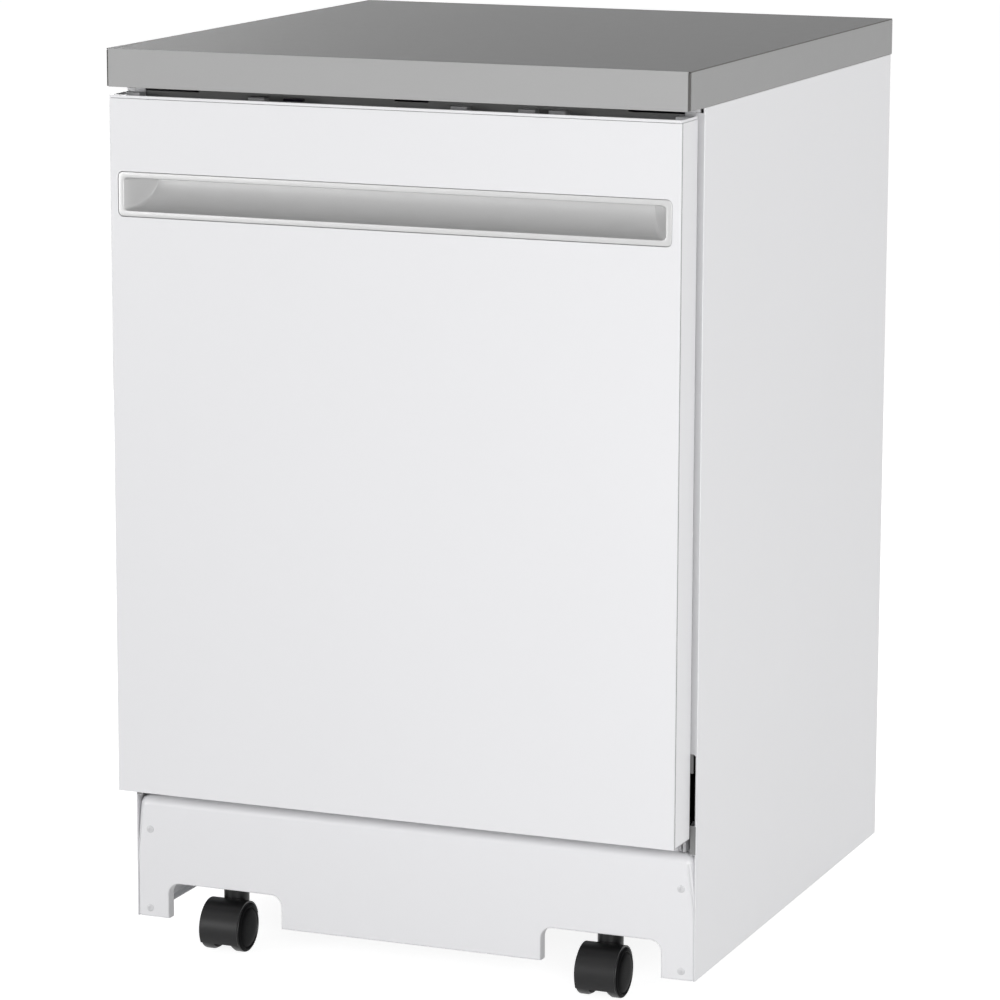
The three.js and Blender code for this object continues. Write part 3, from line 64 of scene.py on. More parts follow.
CAMERA_PLACE = (1.6866, -4.2488, 1.3318)
CAMERA_YAW = 22.0
CAMERA_PITCH = 11.27
CAMERA_ROLL = -0.16
CAMERA_LENS = 158.9
CAMERA_SHIFT = (0.0117, 0.0189)
LAMPS = {  # azimuth, elevation, distance, size, power
    "front_left": (-42, 4, 7.0, 3.0, 199),
    "front_right": (28, 3, 3.0, 1.4, 42),
    "right": (104, 12, 2.8, 1.6, 25),
    "rear_left": (-135, 10, 3.2, 1.6, 46),
    "top_rear": (196, 45, 1.3, 0.8, 0.8),
}
AMBIENT = 0.3
FLOOR_GREY, FLOOR_GLOW = 0.45, 0.88


def add_camera():
    bpy.context.scene.view_settings.view_transform = "Standard"
    data = bpy.data.cameras.new("camera")
    data.lens = CAMERA_LENS
    data.shift_x, data.shift_y = CAMERA_SHIFT
    camera = bpy.data.objects.new("camera", data)
    camera.location = CAMERA_PLACE
    camera.rotation_euler = (radians(90 - CAMERA_PITCH), radians(CAMERA_ROLL), radians(CAMERA_YAW))
    bpy.context.scene.collection.objects.link(camera)
    bpy.context.scene.camera = camera


def add_lamp(name, azimuth, elevation, distance, size, power):
    """A soft square lamp aimed at the middle of the machine. Azimuth 0 is straight ahead of the door."""
    turn, rise = radians(azimuth), radians(elevation)
    aim = Vector((0, 0, 0.5))
    away = Vector((sin(turn) * cos(rise), -cos(turn) * cos(rise), sin(rise)))
    data = bpy.data.lights.new(name, "AREA")
    data.size = size
    data.energy = power
    lamp = bpy.data.objects.new(name, data)
    lamp.location = aim + away * distance
    lamp.rotation_euler = away.to_track_quat("Z", "Y").to_euler()
    bpy.context.scene.collection.objects.link(lamp)


def fill(tree, socket, value):
    """Gives a socket its value, or a link from another socket."""
    if isinstance(value, bpy.types.NodeSocket):
        tree.links.new(value, socket)
    else:
        socket.default_value = value


def node(tree, kind, **sockets):
    made = tree.nodes.new(f"ShaderNode{kind}")
    for label, value in sockets.items():
        fill(tree, made.inputs[label], value)
    return made


def math_node(tree, operation, first, second, clamp=False):
    made = node(tree, "Math")
    made.operation, made.use_clamp = operation, clamp
    fill(tree, made.inputs[0], first)
    fill(tree, made.inputs[1], second)
    return made.outputs[0]


def seen_by_eye(tree):
    """1 for rays that show the white studio: straight from the camera, mirrored or through glass."""
    path = node(tree, "LightPath")
    total = path.outputs["Is Camera Ray"]
    for ray in ("Is Glossy Ray", "Is Transmission Ray"):
        total = math_node(tree, "ADD", total, path.outputs[ray], clamp=True)
    return total


def show_by_eye(tree, plain, white, output):
    """The white shader for rays that show the studio, and the plain one for those that light the machine."""
    mix = node(tree, "MixShader")
    for source, socket in zip((seen_by_eye(tree), plain.outputs[0], white.outputs[0]), mix.inputs):
        tree.links.new(source, socket)
    tree.links.new(mix.outputs[0], tree.nodes[output].inputs["Surface"])


def add_studio():
    world = bpy.data.worlds.new("studio")
    world.use_nodes = True
    bpy.context.scene.world = world
    tree = world.node_tree
    ambient, white = tree.nodes["Background"], node(tree, "Background", Strength=1)
    ambient.inputs["Strength"].default_value = AMBIENT
    for light in (ambient, white):
        light.inputs["Color"].default_value = (1, 1, 1, 1)
    show_by_eye(tree, ambient, white, "World Output")
    for name, values in LAMPS.items():
        add_lamp(name, *values)


def add_floor():
    bpy.ops.object.select_all(action="DESELECT")
    bpy.ops.mesh.primitive_plane_add(size=40)
    floor = bpy.context.object
    floor.name = "floor"
    material = bpy.data.materials.new("studio_floor")
    material.use_nodes = True
    tree = material.node_tree
    tree.nodes.remove(tree.nodes["Principled BSDF"])
    paint = node(tree, "BsdfDiffuse", Color=(FLOOR_GREY, FLOOR_GREY, FLOOR_GREY, 1))
    glow = node(tree, "Emission", Strength=FLOOR_GLOW)
    lit = node(tree, "AddShader")
    tree.links.new(paint.outputs[0], lit.inputs[0])
    tree.links.new(glow.outputs[0], lit.inputs[1])
    show_by_eye(tree, paint, lit, "Material Output")
    floor.data.materials.append(material)


# ---- Shared surface effects ----


def effect(name, inputs, output, build):
    """A node group: named inputs with their types, one named output, filled in by build."""
    tree = bpy.data.node_groups.new(name, "ShaderNodeTree")
    for label, kind in inputs:
        tree.interface.new_socket(label, in_out="INPUT", socket_type=kind)
    tree.interface.new_socket(output[0], in_out="OUTPUT", socket_type=output[1])
    source = tree.nodes.new("NodeGroupInput")
    sink = tree.nodes.new("NodeGroupOutput")
    tree.links.new(build(tree, source.outputs), sink.inputs[0])
    return tree


def noise_on_object(tree, source, detail=2.0):
    """Noise over the object's own coordinates, drawn out by the stretch."""
    stretched = node(tree, "VectorMath")
    stretched.operation = "MULTIPLY"
    tree.links.new(node(tree, "TexCoord").outputs["Object"], stretched.inputs[0])
    tree.links.new(source["Stretch"], stretched.inputs[1])
    noise = node(tree, "TexNoise", Vector=stretched.outputs[0], Scale=source["Scale"], Detail=detail)
    return noise.outputs["Fac"]


def centred(tree, value, amount):
    """A 0 to 1 value as a signed share of the amount."""
    return math_node(tree, "MULTIPLY", math_node(tree, "SUBTRACT", value, 0.5), amount)


def shaded(tree, source, pattern):
    """The colour, lighter and darker by a 0 to 1 pattern."""
    level = math_node(tree, "ADD", centred(tree, pattern, source["Amount"]), 1.0)
    return node(tree, "HueSaturation", Value=level, Color=source["Colour"]).outputs[0]


def build_tone(tree, source):
    return shaded(tree, source, noise_on_object(tree, source, 3.0))


def build_polish(tree, source):
    change = centred(tree, noise_on_object(tree, source), source["Amount"])
    return math_node(tree, "ADD", source["Roughness"], change, clamp=True)


def build_spangle(tree, source):
    """Zinc crystals: flat cells of slightly different tone."""
    place = node(tree, "TexCoord").outputs["Object"]
    cells = node(tree, "TexVoronoi", Vector=place, Scale=source["Scale"])
    split = node(tree, "SeparateColor", Color=cells.outputs["Color"])
    return shaded(tree, source, split.outputs["Red"])


VALUE, COLOUR, VECTOR = "NodeSocketFloat", "NodeSocketColor", "NodeSocketVector"
PAINT, AMOUNT = ("Colour", COLOUR), ("Amount", VALUE)
PATTERN = ("Scale", VALUE), ("Stretch", VECTOR)
EFFECTS = {
    row[0]: effect(*row)
    for row in (
        ("tone", [PAINT, AMOUNT, *PATTERN], PAINT, build_tone),
        ("polish", [("Roughness", VALUE), AMOUNT, *PATTERN], ("Roughness", VALUE), build_polish),
        ("grain", PATTERN, ("Height", VALUE), noise_on_object),
        ("spangle", [PAINT, AMOUNT, PATTERN[0]], PAINT, build_spangle),
    )
}


# ---- Finishes ----

GRAIN_DEPTH = 0.0004


def linear(code):
    """The linear colour of a six-digit hex code."""
    parts = [int(code[i : i + 2], 16) / 255 for i in (0, 2, 4)]
    return (*[c / 12.92 if c <= 0.04045 else ((c + 0.055) / 1.055) ** 2.4 for c in parts], 1)


def use_effect(tree, name, **values):
    group = node(tree, "Group")
    group.node_tree = EFFECTS[name]
    for label, value in values.items():
        group.inputs[label].default_value = value
    return group.outputs[0]


def surface(
    name,
    colour,
    roughness,
    *,
    metallic=0.0,
    tone=(30, 0.04),
    polish=(60, 0.06),
    grain=(900, 0.1),
    stretch=(1, 1, 1),
    spangle=None,
    **sockets,
):
    """A finish: its colour varied by noise or zinc cells, its gloss by a broad noise, and a fine relief."""
    material = bpy.data.materials.new(name)
    material.use_nodes = True
    material.diffuse_color = linear(colour)
    tree = material.node_tree
    if spangle:
        paint = use_effect(tree, "spangle", Colour=linear(colour), Scale=spangle[0], Amount=spangle[1])
    else:
        shade = {"Scale": tone[0], "Amount": tone[1], "Stretch": stretch}
        paint = use_effect(tree, "tone", Colour=linear(colour), **shade)
    gloss = {"Scale": polish[0], "Amount": polish[1], "Stretch": stretch}
    relief = use_effect(tree, "grain", Scale=grain[0], Stretch=stretch)
    bump = node(tree, "Bump", Strength=grain[1], Distance=GRAIN_DEPTH, Height=relief)
    values = {
        "Base Color": paint,
        "Roughness": use_effect(tree, "polish", Roughness=roughness, **gloss),
        "Normal": bump.outputs["Normal"],
        "Metallic": metallic,
        **{label.replace("_", " "): value for label, value in sockets.items()},
    }
    for label, value in values.items():
        fill(tree, tree.nodes["Principled BSDF"].inputs[label], value)
    return material


FINISHES = {
    "white_enamel": surface("enamel", "E6E6E8", 0.34, tone=(4, 0.015), grain=(700, 0.06)),
    "grey_laminate": surface(
        "laminate", "7E7E7E", 0.62, tone=(900, 0.1), grain=(1600, 0.25), Specular_IOR_Level=0.24
    ),
    "grey_edge": surface("laminate_edge", "A6A6A6", 0.55, tone=(700, 0.05), grain=(1400, 0.2)),
    "handle_grey": surface("silver_paint", "C6C6C6", 0.34, metallic=0.3, grain=(2600, 0.12)),
    "dark_plastic": surface("console_plastic", "686869", 0.5, tone=(300, 0.1), grain=(2200, 0.3)),
    "tub_plastic": surface("tub_moulding", "A4A7AA", 0.42, tone=(500, 0.08), grain=(1500, 0.15)),
    "black_plastic": surface(
        "black_nylon", "131314", 0.34, tone=(120, 0.2), grain=(1800, 0.2), Specular_IOR_Level=0.32
    ),
    "white_plastic": surface("white_moulding", "DEDEDA", 0.42, tone=(60, 0.03), grain=(1600, 0.1)),
    "window": surface("tinted_window", "1C1822", 0.08, tone=(60, 0.1), grain=(300, 0.02), Coat_Weight=0.6),
    "rubber": surface("seal_rubber", "1D1D1E", 0.75, tone=(200, 0.2), grain=(1200, 0.3)),
    "coated_wire": surface("vinyl_coating", "A9ADB2", 0.36, tone=(90, 0.06), grain=(800, 0.12)),
    "zinc_steel": surface("galvanised_sheet", "B4B6B8", 0.38, metallic=0.85, spangle=(130, 0.16)),
    "stainless": surface(
        "brushed_stainless", "C6C8CA", 0.3, metallic=1.0, stretch=(1, 40, 40), grain=(60, 0.12)
    ),
}
BLANKET = surface("felt", "161617", 0.95, tone=(500, 0.5), grain=(1300, 0.9), Specular_IOR_Level=0.1)
CAP_NYLON = surface("cap_nylon", "0C0C0D", 0.5, tone=(120, 0.2), grain=(1800, 0.2), Specular_IOR_Level=0.04)
KEY_GREY = surface("key_plastic", "ACACAE", 0.42, tone=(200, 0.05), grain=(2200, 0.15))
# Grey on the side panels' front flanges and worktop tabs: painted shade from the door and the worktop, on
# what is white enamel.
FLANGE_PAINTED_SHADE = surface("flange_painted_shade", "CECED0", 0.45, tone=(20, 0.02), grain=(900, 0.08))
SCREW_PAINT = surface("screw_paint", "D4D4D6", 0.4, tone=(20, 0.02), grain=(900, 0.08))
# The edge laminate made darker for the worktop's side and rear bands: painted shade, since these faces get
# less light than the front band.
SIDE_EDGE_SHADE = surface("laminate_side_edge_painted_shade", "969696", 0.55, tone=(700, 0.05), grain=(1400, 0.2))
HINGE_PAINT = surface("hinge_paint", "A8A8AA", 0.5, tone=(300, 0.06), grain=(1500, 0.2))
# A mid grey that stands for deep shade (painted shade): the flange under the hinge notch, the grooves in the
# door's sides and the tub's front face.
PAINTED_SHADE_GREY = surface("painted_shade_grey", "808080", 0.5, tone=(300, 0.06), grain=(1500, 0.2))
PHENOLIC = surface("laminate_core", "4A4846", 0.6, tone=(400, 0.2), grain=(900, 0.3))
MESH_CLOTH = surface("filter_mesh", "8E9296", 0.45, metallic=0.8, tone=(1800, 0.5), grain=(2200, 0.6))


# ---- Modelling helpers ----

PAST = 0.01  # how far a cutter reaches past what it cuts
NEAR = 0.001  # an edge this close to a side belongs to it


def through(low, high):
    return low - PAST, high + PAST


def select_only(piece):
    bpy.ops.object.select_all(action="DESELECT")
    piece.hide_set(False)
    piece.select_set(True)
    bpy.context.view_layer.objects.active = piece


def settle(name):
    """Names the primitive that was just added, and puts its place into its mesh."""
    piece = bpy.context.object
    piece.name = piece.data.name = name
    bpy.ops.object.transform_apply(location=True, rotation=True, scale=True)
    return piece


def cuboid(name, low, high):
    low, high = Vector(low), Vector(high)
    bpy.ops.object.select_all(action="DESELECT")
    bpy.ops.mesh.primitive_cube_add(size=1, location=(low + high) / 2)
    bpy.context.object.scale = high - low
    return settle(name)


def sided(name, side, across, along, up):
    """A cuboid on one side of the machine: across holds its two distances from the middle."""
    near, far = sorted(side * distance for distance in across)
    return cuboid(name, (near, along[0], up[0]), (far, along[1], up[1]))


def outlined(name, low, high, margin, along):
    """A cuboid through Y whose outline is a box's, with a margin all round."""
    return cuboid(
        name, (low.x - margin, along[0], low.z - margin), (high.x + margin, along[1], high.z + margin)
    )


@contextmanager
def editing(piece, kind="FACE"):
    select_only(piece)
    bpy.ops.object.mode_set(mode="EDIT")
    bpy.ops.mesh.select_mode(type=kind)
    bpy.ops.mesh.select_all(action="DESELECT")
    yield
    bpy.ops.object.mode_set(mode="OBJECT")


def pick(piece, kind, test):
    """Selects the faces or edges that pass the test, and nothing else."""
    bpy.ops.mesh.select_all(action="DESELECT")
    shape = bmesh.from_edit_mesh(piece.data)
    for part in getattr(shape, kind):
        if test(part):
            part.select_set(True)
    bmesh.update_edit_mesh(piece.data)


def pick_faces(piece, side):
    pick(piece, "faces", lambda face: face.normal.dot(side) > 0.9)


def extrude(by):
    bpy.ops.mesh.extrude_region_move(TRANSFORM_OT_translate={"value": tuple(by)})


def resize(by, about):
    bpy.ops.transform.resize(value=tuple(by), center_override=tuple(about))


def rounded(piece, test, radius, segments):
    """Rounds the edges whose two ends pass the test."""
    with editing(piece, "EDGE"):
        pick(piece, "edges", lambda edge: test(*[vertex.co for vertex in edge.verts]))
        bpy.ops.mesh.bevel(offset=radius, segments=segments, affect="EDGES")


def under(axis, level):
    """A test for edges whose middle lies under a level on an axis."""
    return lambda middle: middle.dot(axis) < level


def over(axis, level):
    return lambda middle: middle.dot(axis) > level


def round_along(piece, axis, radius, segments=5, where=lambda middle: True):
    """Rounds the edges that run along an axis."""
    rounded(
        piece,
        lambda a, b: abs((b - a).normalized().dot(axis)) > 0.99 and where((a + b) / 2),
        radius,
        segments,
    )


def applied(piece, kind, **settings):
    """One modifier, set and applied."""
    select_only(piece)
    modifier = piece.modifiers.new(kind.lower(), kind)
    for label, value in settings.items():
        setattr(modifier, label, value)
    bpy.ops.object.modifier_apply(modifier=modifier.name)


def cut(piece, *tools):
    for tool in tools:
        applied(piece, "BOOLEAN", object=tool, operation="DIFFERENCE", solver="EXACT")
        bpy.data.objects.remove(tool)
    return piece


def fuse(piece, *others):
    for other in others:
        applied(piece, "BOOLEAN", object=other, operation="UNION", solver="EXACT")
        bpy.data.objects.remove(other)
    return piece


def gathered(name, pieces):
    """Separate bodies of one moulding or a row of fasteners, as one piece."""
    bpy.ops.object.select_all(action="DESELECT")
    for piece in pieces:
        piece.select_set(True)
    bpy.context.view_layer.objects.active = pieces[0]
    bpy.ops.object.join()
    pieces[0].name = pieces[0].data.name = name
    return pieces[0]


def opened(piece, side):
    """Takes away the flat faces on one side."""
    with editing(piece):
        pick_faces(piece, side)
        bpy.ops.mesh.delete(type="FACE")


def pressed(piece, thickness, open_side):
    """Opens one side of a solid and gives the rest a sheet's thickness, inwards."""
    opened(piece, open_side)
    applied(piece, "SOLIDIFY", thickness=thickness, offset=-1, use_even_offset=True)
    return piece


def framed(piece, side, *insets, sink=0.0):
    """Insets the face on one side by (thickness, depth) steps, and sinks what is left of it."""
    with editing(piece):
        pick_faces(piece, side)
        for thickness, depth in insets:
            bpy.ops.mesh.inset(thickness=thickness, depth=depth)
        if sink:
            extrude(-sink * side)


def eased(piece, width=0.0006, segments=2, angle=30):
    """Small round edges, smooth faces, and normals that keep the flats flat."""
    if width:
        limit = {"limit_method": "ANGLE", "angle_limit": radians(angle)}
        applied(piece, "BEVEL", width=width, segments=segments, **limit)
    select_only(piece)
    bpy.ops.object.shade_smooth_by_angle(angle=radians(50))
    applied(piece, "WEIGHTED_NORMAL", keep_sharp=True)
    return piece


def drawn(name, place, axis, sections, sides=32):
    """A piece drawn out of a filled oval along an axis. A section is (distance, half width, half height)."""
    start, wide, tall = sections[0]
    bpy.ops.object.select_all(action="DESELECT")
    bpy.ops.mesh.primitive_circle_add(vertices=sides, fill_type="NGON", location=(0, 0, start))
    bpy.context.object.scale = (wide, tall, 1)
    piece = settle(name)
    with editing(piece):
        bpy.ops.mesh.select_all(action="SELECT")
        for distance, new_wide, new_tall in sections[1:]:
            extrude((0, 0, distance - start))
            if (new_wide, new_tall) != (wide, tall):
                resize((new_wide / wide, new_tall / tall, 1), (0, 0, distance))
            start, wide, tall = distance, new_wide, new_tall
        bpy.ops.mesh.select_all(action="SELECT")
        bpy.ops.mesh.normals_make_consistent(inside=False)
    lie = Z.rotation_difference(axis).to_matrix().to_4x4()
    piece.data.transform(Matrix.Translation(place) @ lie)
    return piece


def turned(name, place, axis, profile, sides=32):
    """A round piece along an axis: the profile is (distance, radius) pairs."""
    return drawn(name, place, axis, [(distance, radius, radius) for distance, radius in profile], sides)


def rod(name, place, axis, length, radius, sides=32):
    """A plain round bar, mostly for cutting a bore."""
    return turned(name, place, axis, [(0, radius), (length, radius)], sides)


def spread(count, low, high):
    return [low + (high - low) * i / (count - 1) for i in range(count)]


def around(middle, radius, turn, first=X, second=Y):
    """The spot on a circle after a turn from its first direction towards its second."""
    return Vector(middle) + radius * (cos(turn) * first + sin(turn) * second)


def bent(points, radius, closed=False, steps=4):
    """The points of a run whose corners are turned with a radius."""
    made = []
    points = [Vector(p) for p in points]
    for i, corner in enumerate(points):
        if not closed and i in (0, len(points) - 1):
            made.append(corner)
            continue
        before, after = points[i - 1] - corner, points[(i + 1) % len(points)] - corner
        reach = min(radius, before.length / 2.2, after.length / 2.2)
        start, end = corner + before.normalized() * reach, corner + after.normalized() * reach
        for step in range(steps + 1):
            t = step / steps
            made.append(start * (1 - t) ** 2 + corner * 2 * t * (1 - t) + end * t**2)
    return made


def wirework(name, runs, thickness, closed=(), roundness=2):
    """Round wire along each run of points as one mesh; the runs whose numbers are in closed join up."""
    data = bpy.data.curves.new(name, "CURVE")
    data.dimensions = "3D"
    data.bevel_depth = thickness / 2
    data.bevel_resolution = roundness
    data.use_fill_caps = True
    for i, run in enumerate(runs):
        spline = data.splines.new("POLY")
        spline.points.add(len(run) - 1)
        for point, place in zip(spline.points, run):
            point.co = (*place, 1)
        spline.use_cyclic_u = i in closed
    piece = bpy.data.objects.new(name, data)
    bpy.context.scene.collection.objects.link(piece)
    select_only(piece)
    bpy.ops.object.convert(target="MESH")
    bpy.ops.object.shade_smooth_by_angle(angle=radians(50))
    return bpy.context.object


def dress(piece, finish, body="root", stands_for=(), second=None):
    """Gives a finished piece its surface, its body and the solids that it stands for."""
    piece.data.materials.clear()
    piece.data.materials.append(FINISHES[finish])
    if second:
        piece.data.materials.append(second)
    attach(piece, body)
    if stands_for:
        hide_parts(*stands_for)
    return piece


def soften_solid(node, width, segments=2):
    """Small round edges on a CAD solid that is shown as it is."""
    solid = frame["nodes"][node]
    edges = solid.modifiers.new("edges", "BEVEL")
    edges.width = width
    edges.segments = segments
    edges.limit_method = "ANGLE"
    edges.angle_limit = radians(40)
    edges.harden_normals = True


# ---- Worktop ----

SEAM = 0.0003  # shown between two pieces that meet
BAND_LIP = 0.0016  # of the front band, before the laminate sheet
LAMINATE = 0.0012
FRONT_BAND = 0.0045
SIDE_BAND = 0.003
CORNER_FRONT = 0.0018  # width of the corner filler on the front and along the side
CORNER_SIDE = 0.0052
CORNER_SINK = 0.0006  # of the filler behind the bands


def add_worktop():
    low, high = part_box("worktop_edge_band")
    sheet_under = high.z - LAMINATE
    seam_y = low.y + FRONT_BAND + SEAM
    end = high.x - CORNER_FRONT

    front = cuboid("worktop_front_band", (-end, low.y, low.z), (end, low.y + FRONT_BAND, high.z))
    round_along(front, Z, 0.0009, 3, under(Y, low.y + NEAR))
    round_along(front, X, 0.0012, 3, under(Y, low.y + NEAR))
    cut(front, cuboid("rebate", (-1, low.y + BAND_LIP, sheet_under - SEAM), (1, seam_y, 1)))
    dress(eased(front, 0.0003), "grey_edge", stands_for=["worktop_edge_band"])

    for name, side in SIDES.items():
        across, along = (high.x - SIDE_BAND, high.x), (low.y + CORNER_SIDE, high.y)
        band = sided(f"worktop_{name}_band", side, across, along, (low.z, sheet_under))
        round_along(band, X, 0.0008, 3, under(Z, low.z + NEAR))
        # The side band takes the darker edge laminate, painted shade.
        dress(eased(band, 0.0004, 3), "grey_edge").data.materials[0] = SIDE_EDGE_SHADE
        filler = sided(
            f"worktop_{name}_corner",
            side,
            (end + SEAM, high.x - CORNER_SINK),
            (low.y + CORNER_SINK, low.y + CORNER_SIDE - SEAM),
            (low.z + CORNER_SINK, sheet_under - SEAM),
        )
        round_along(filler, Z, 0.0009, 3, under(Y, low.y + NEAR))
        dress(eased(filler, 0), "grey_edge").data.materials[0] = PHENOLIC

    inside = high.x - SIDE_BAND - SEAM
    back = high.y - SIDE_BAND
    rear = cuboid("worktop_rear_band", (-inside, back, low.z), (inside, high.y, sheet_under))
    # The rear band takes the same painted shade.
    dress(eased(rear, 0.0005), "grey_edge").data.materials[0] = SIDE_EDGE_SHADE

    sheet = cuboid("worktop_laminate", (low.x, low.y + BAND_LIP + SEAM, sheet_under), high)
    round_along(sheet, Z, 0.0015, 3, over(Y, 0))
    framed(sheet, Z, (0.0004, 0))
    dress(sheet, "grey_laminate", second=PHENOLIC)
    for face in sheet.data.polygons:
        face.material_index = 0 if face.normal.z > 0.9 and face.area > 0.1 else 1

    board = cuboid("worktop_board", (-inside, seam_y, low.z), (inside, back - SEAM, sheet_under - SEAM))
    framed(board, -Z, (0.018, 0), (0.0008, -0.0012))
    dress(eased(board, 0.0005), "grey_laminate", stands_for=["worktop"])


# ---- Cabinet ----

SHEET = 0.0012
RETURN = 0.01  # how far the side panel is bent in at its edges
FLANGE = 0.0096  # of the side panel, beside the door
FLANGE_LOW = 0.0066  # the same below the hinge notch
TAB = 0.2865, 0.3018  # ends of the tab that the worktop rests on
TAB_TALL, TAB_ARM = 0.022, 0.0046  # heights of the tab and of its arm
NOTCH_LOW, NOTCH_HIGH = 0.187, 0.26  # hinge notch in the flange
SHADE_LOW = 0.158  # lower end of the flange's darker painted shade, under the notch
SILL_RISE = 0.0165  # of the sill over the toe panel
TOE_BEND = 0.0098  # radius of the toe panel's top edge
TOE_OPENING = (0.143, 0.271), 0.066, 0.012  # ends, top and corner radius of a caster's cut-out
TOE_SCREWS = (0.2915, 0.122), (0.2925, 0.0374)
TOE_CUT = 0.1575  # the flange is cut back under this, beside the toe panel
SILL_DEPTH, SILL_ROUND = 0.012, 0.004
REAR_BEADS = 0.2, 0.36, 0.52, 0.68
BEAD_HALF, BEAD_TALL, BEAD_PROUD = 0.26, 0.016, 0.0016  # of the rear panel's beads
VENT_LEFT, VENT_PITCH, VENT_LONG = -0.25, 0.05, 0.036
VENT_FEET, VENT_TALL = (0.795, 0.815), 0.005
REAR_SCREW_X = 0.292
REAR_SCREWS = 0.09, 0.29, 0.49, 0.69, 0.875
OUTLET_BORES = (0.216, 0.014), (0.247, 0.006)  # place across and radius of the hose's and the cord's way out


def add_side_panel(name, side):
    low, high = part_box(f"side_panel_{name}")
    outer = high.x if side > 0 else -low.x
    inner = outer - RETURN
    panel = sided(f"cabinet_side_{name}", side, (inner, outer), (low.y, high.y), (low.z, high.z))
    round_along(panel, Z, 0.0009, 3, lambda middle: abs(middle.x) > inner + RETURN / 2)
    round_along(panel, Y, 0.0012, 3, lambda middle: abs(middle.x) > inner + RETURN / 2)
    pressed(panel, SHEET, -side * X)
    reach = outer - FLANGE
    within, foot = inner - 2 * NEAR, low.z - NEAR
    shallow, deep = (low.y - NEAR, low.y + 2 * NEAR), (low.y - NEAR, low.y + 3 * NEAR)
    trim = sided("trim", side, (within, reach), shallow, (foot, 1))
    low_trim = sided("low_trim", side, (within, outer - FLANGE_LOW), shallow, (foot, NOTCH_LOW))
    cut_back = within, outer - (SHEET + 0.0006)
    notch = sided("notch", side, cut_back, deep, (NOTCH_LOW, NOTCH_HIGH))
    round_along(notch, Y, 0.002, 1, over(Z, NOTCH_HIGH - NEAR))
    toe = sided("toe", side, cut_back, deep, (foot, TOE_CUT))
    top = sided("top", side, cut_back, deep, (high.z - 0.005, high.z + PAST))
    cut(panel, trim, low_trim, notch, toe, top)
    with editing(panel, "EDGE"):
        for level in (NOTCH_LOW - 0.0002, SHADE_LOW):
            bpy.ops.mesh.select_all(action="SELECT")
            bpy.ops.mesh.bisect(plane_co=(0, 0, level), plane_no=(0, 0, 1))
    # The flange beside the door is painted grey for the door's shadow on it, and darker between SHADE_LOW
    # and the hinge notch: painted shade.
    dress(eased(panel, 0.0002, 1), "white_enamel", stands_for=[f"side_panel_{name}"], second=FLANGE_PAINTED_SHADE)
    panel.data.materials.append(PAINTED_SHADE_GREY)
    for face in panel.data.polygons:
        on_flange = face.normal.y < -0.9 and abs(face.center.x) < outer - 0.0015
        face.material_index = 0 if not on_flange else 2 if SHADE_LOW < face.center.z < NOTCH_LOW else 1
    along = low.y + 0.0002, low.y + 0.0002 + SHEET
    tab = sided(f"cabinet_tab_{name}", side, (TAB[0], reach - SEAM), along, (high.z - TAB_TALL, high.z))
    fuse(tab, sided("arm", side, TAB, along, (high.z - TAB_ARM, high.z)))
    # The tab under the worktop takes the flange's painted shade.
    dress(eased(tab, 0.0002), "white_enamel").data.materials[0] = FLANGE_PAINTED_SHADE


def pan_head(name, place, axis, radius=0.004, height=0.0021):
    """A pan-head screw with a cross recess."""
    profile = (0, 1), (0.43, 0.97), (0.81, 0.75), (1, 0.4)
    head = turned(name, place, axis, [(up * height, part * radius) for up, part in profile], 20)
    lie = Matrix.Translation(place) @ Z.rotation_difference(axis).to_matrix().to_4x4()
    slots = []
    for turn in (0, pi / 2):
        slot = cuboid("slot", (-0.0019, -0.0004, height * 0.57), (0.0019, 0.0004, 0.003))
        slot.data.transform(lie @ Matrix.Rotation(turn, 4, "Z"))
        slots.append(slot)
    cut(head, *slots)
    return eased(head, 0)


def add_toe_panel():
    low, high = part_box("toe_panel")
    panel = cuboid("toe_kick", low, high)
    across, top, corner = TOE_OPENING
    along = through(low.y, high.y)
    tools = []
    for side in SIDES.values():
        opening = sided("opening", side, across, along, (0, top))
        round_along(opening, Y, corner, 6, over(Z, 0.05))
        tools.append(opening)
    step = across[0] + 0.0005
    tools.append(cuboid("step", (-step, along[0], 0), (step, along[1], low.z + 0.003)))
    cut(panel, *tools)
    with editing(panel, "EDGE"):
        bpy.ops.mesh.select_all(action="SELECT")
        bpy.ops.mesh.remove_doubles(threshold=0.00001)
        bpy.ops.mesh.dissolve_limited(angle_limit=radians(1))
    round_along(panel, Y, TOE_BEND + 0.0008, 6, over(Z, high.z - NEAR))
    round_along(panel, Y, 0.002, 2, lambda middle: abs(middle.x) > 0.3 and middle.z < 0.03)
    front = low.y + 0.0005
    for on_top, radius, segments in ((True, TOE_BEND, 8), (False, 0.0016, 3)):
        rounded(
            panel,
            lambda a, b: max(a.y, b.y) < front and ((a.z + b.z) / 2 > high.z - 0.011) == on_top,
            radius,
            segments,
        )
    pressed(panel, SHEET, Y)
    dress(eased(panel, 0), "white_enamel", stands_for=["toe_panel"])
    screws = [
        pan_head("toe_screw", (side * across, low.y + 0.0001, up), -Y, height=0.0011)
        for side in SIDES.values()
        for across, up in TOE_SCREWS
    ]
    dress(gathered("toe_kick_screws", screws), "white_enamel").data.materials[0] = SCREW_PAINT


def add_sill():
    """The bent sheet behind the toe panel's top, seen through the gap under the door."""
    low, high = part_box("toe_panel")
    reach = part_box("hinge_bracket_right")[0].x - 0.0015
    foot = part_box("base_frame")[1].z + 0.03
    top = high.z + SILL_RISE
    sill = cuboid("door_sill", (-reach, high.y + SEAM, foot), (reach, high.y + SILL_DEPTH, top))
    round_along(sill, X, SILL_ROUND, 4, lambda middle: middle.y < high.y + NEAR and middle.z > high.z)
    pressed(sill, SHEET, Y)
    dress(eased(sill, 0.0002), "white_enamel")


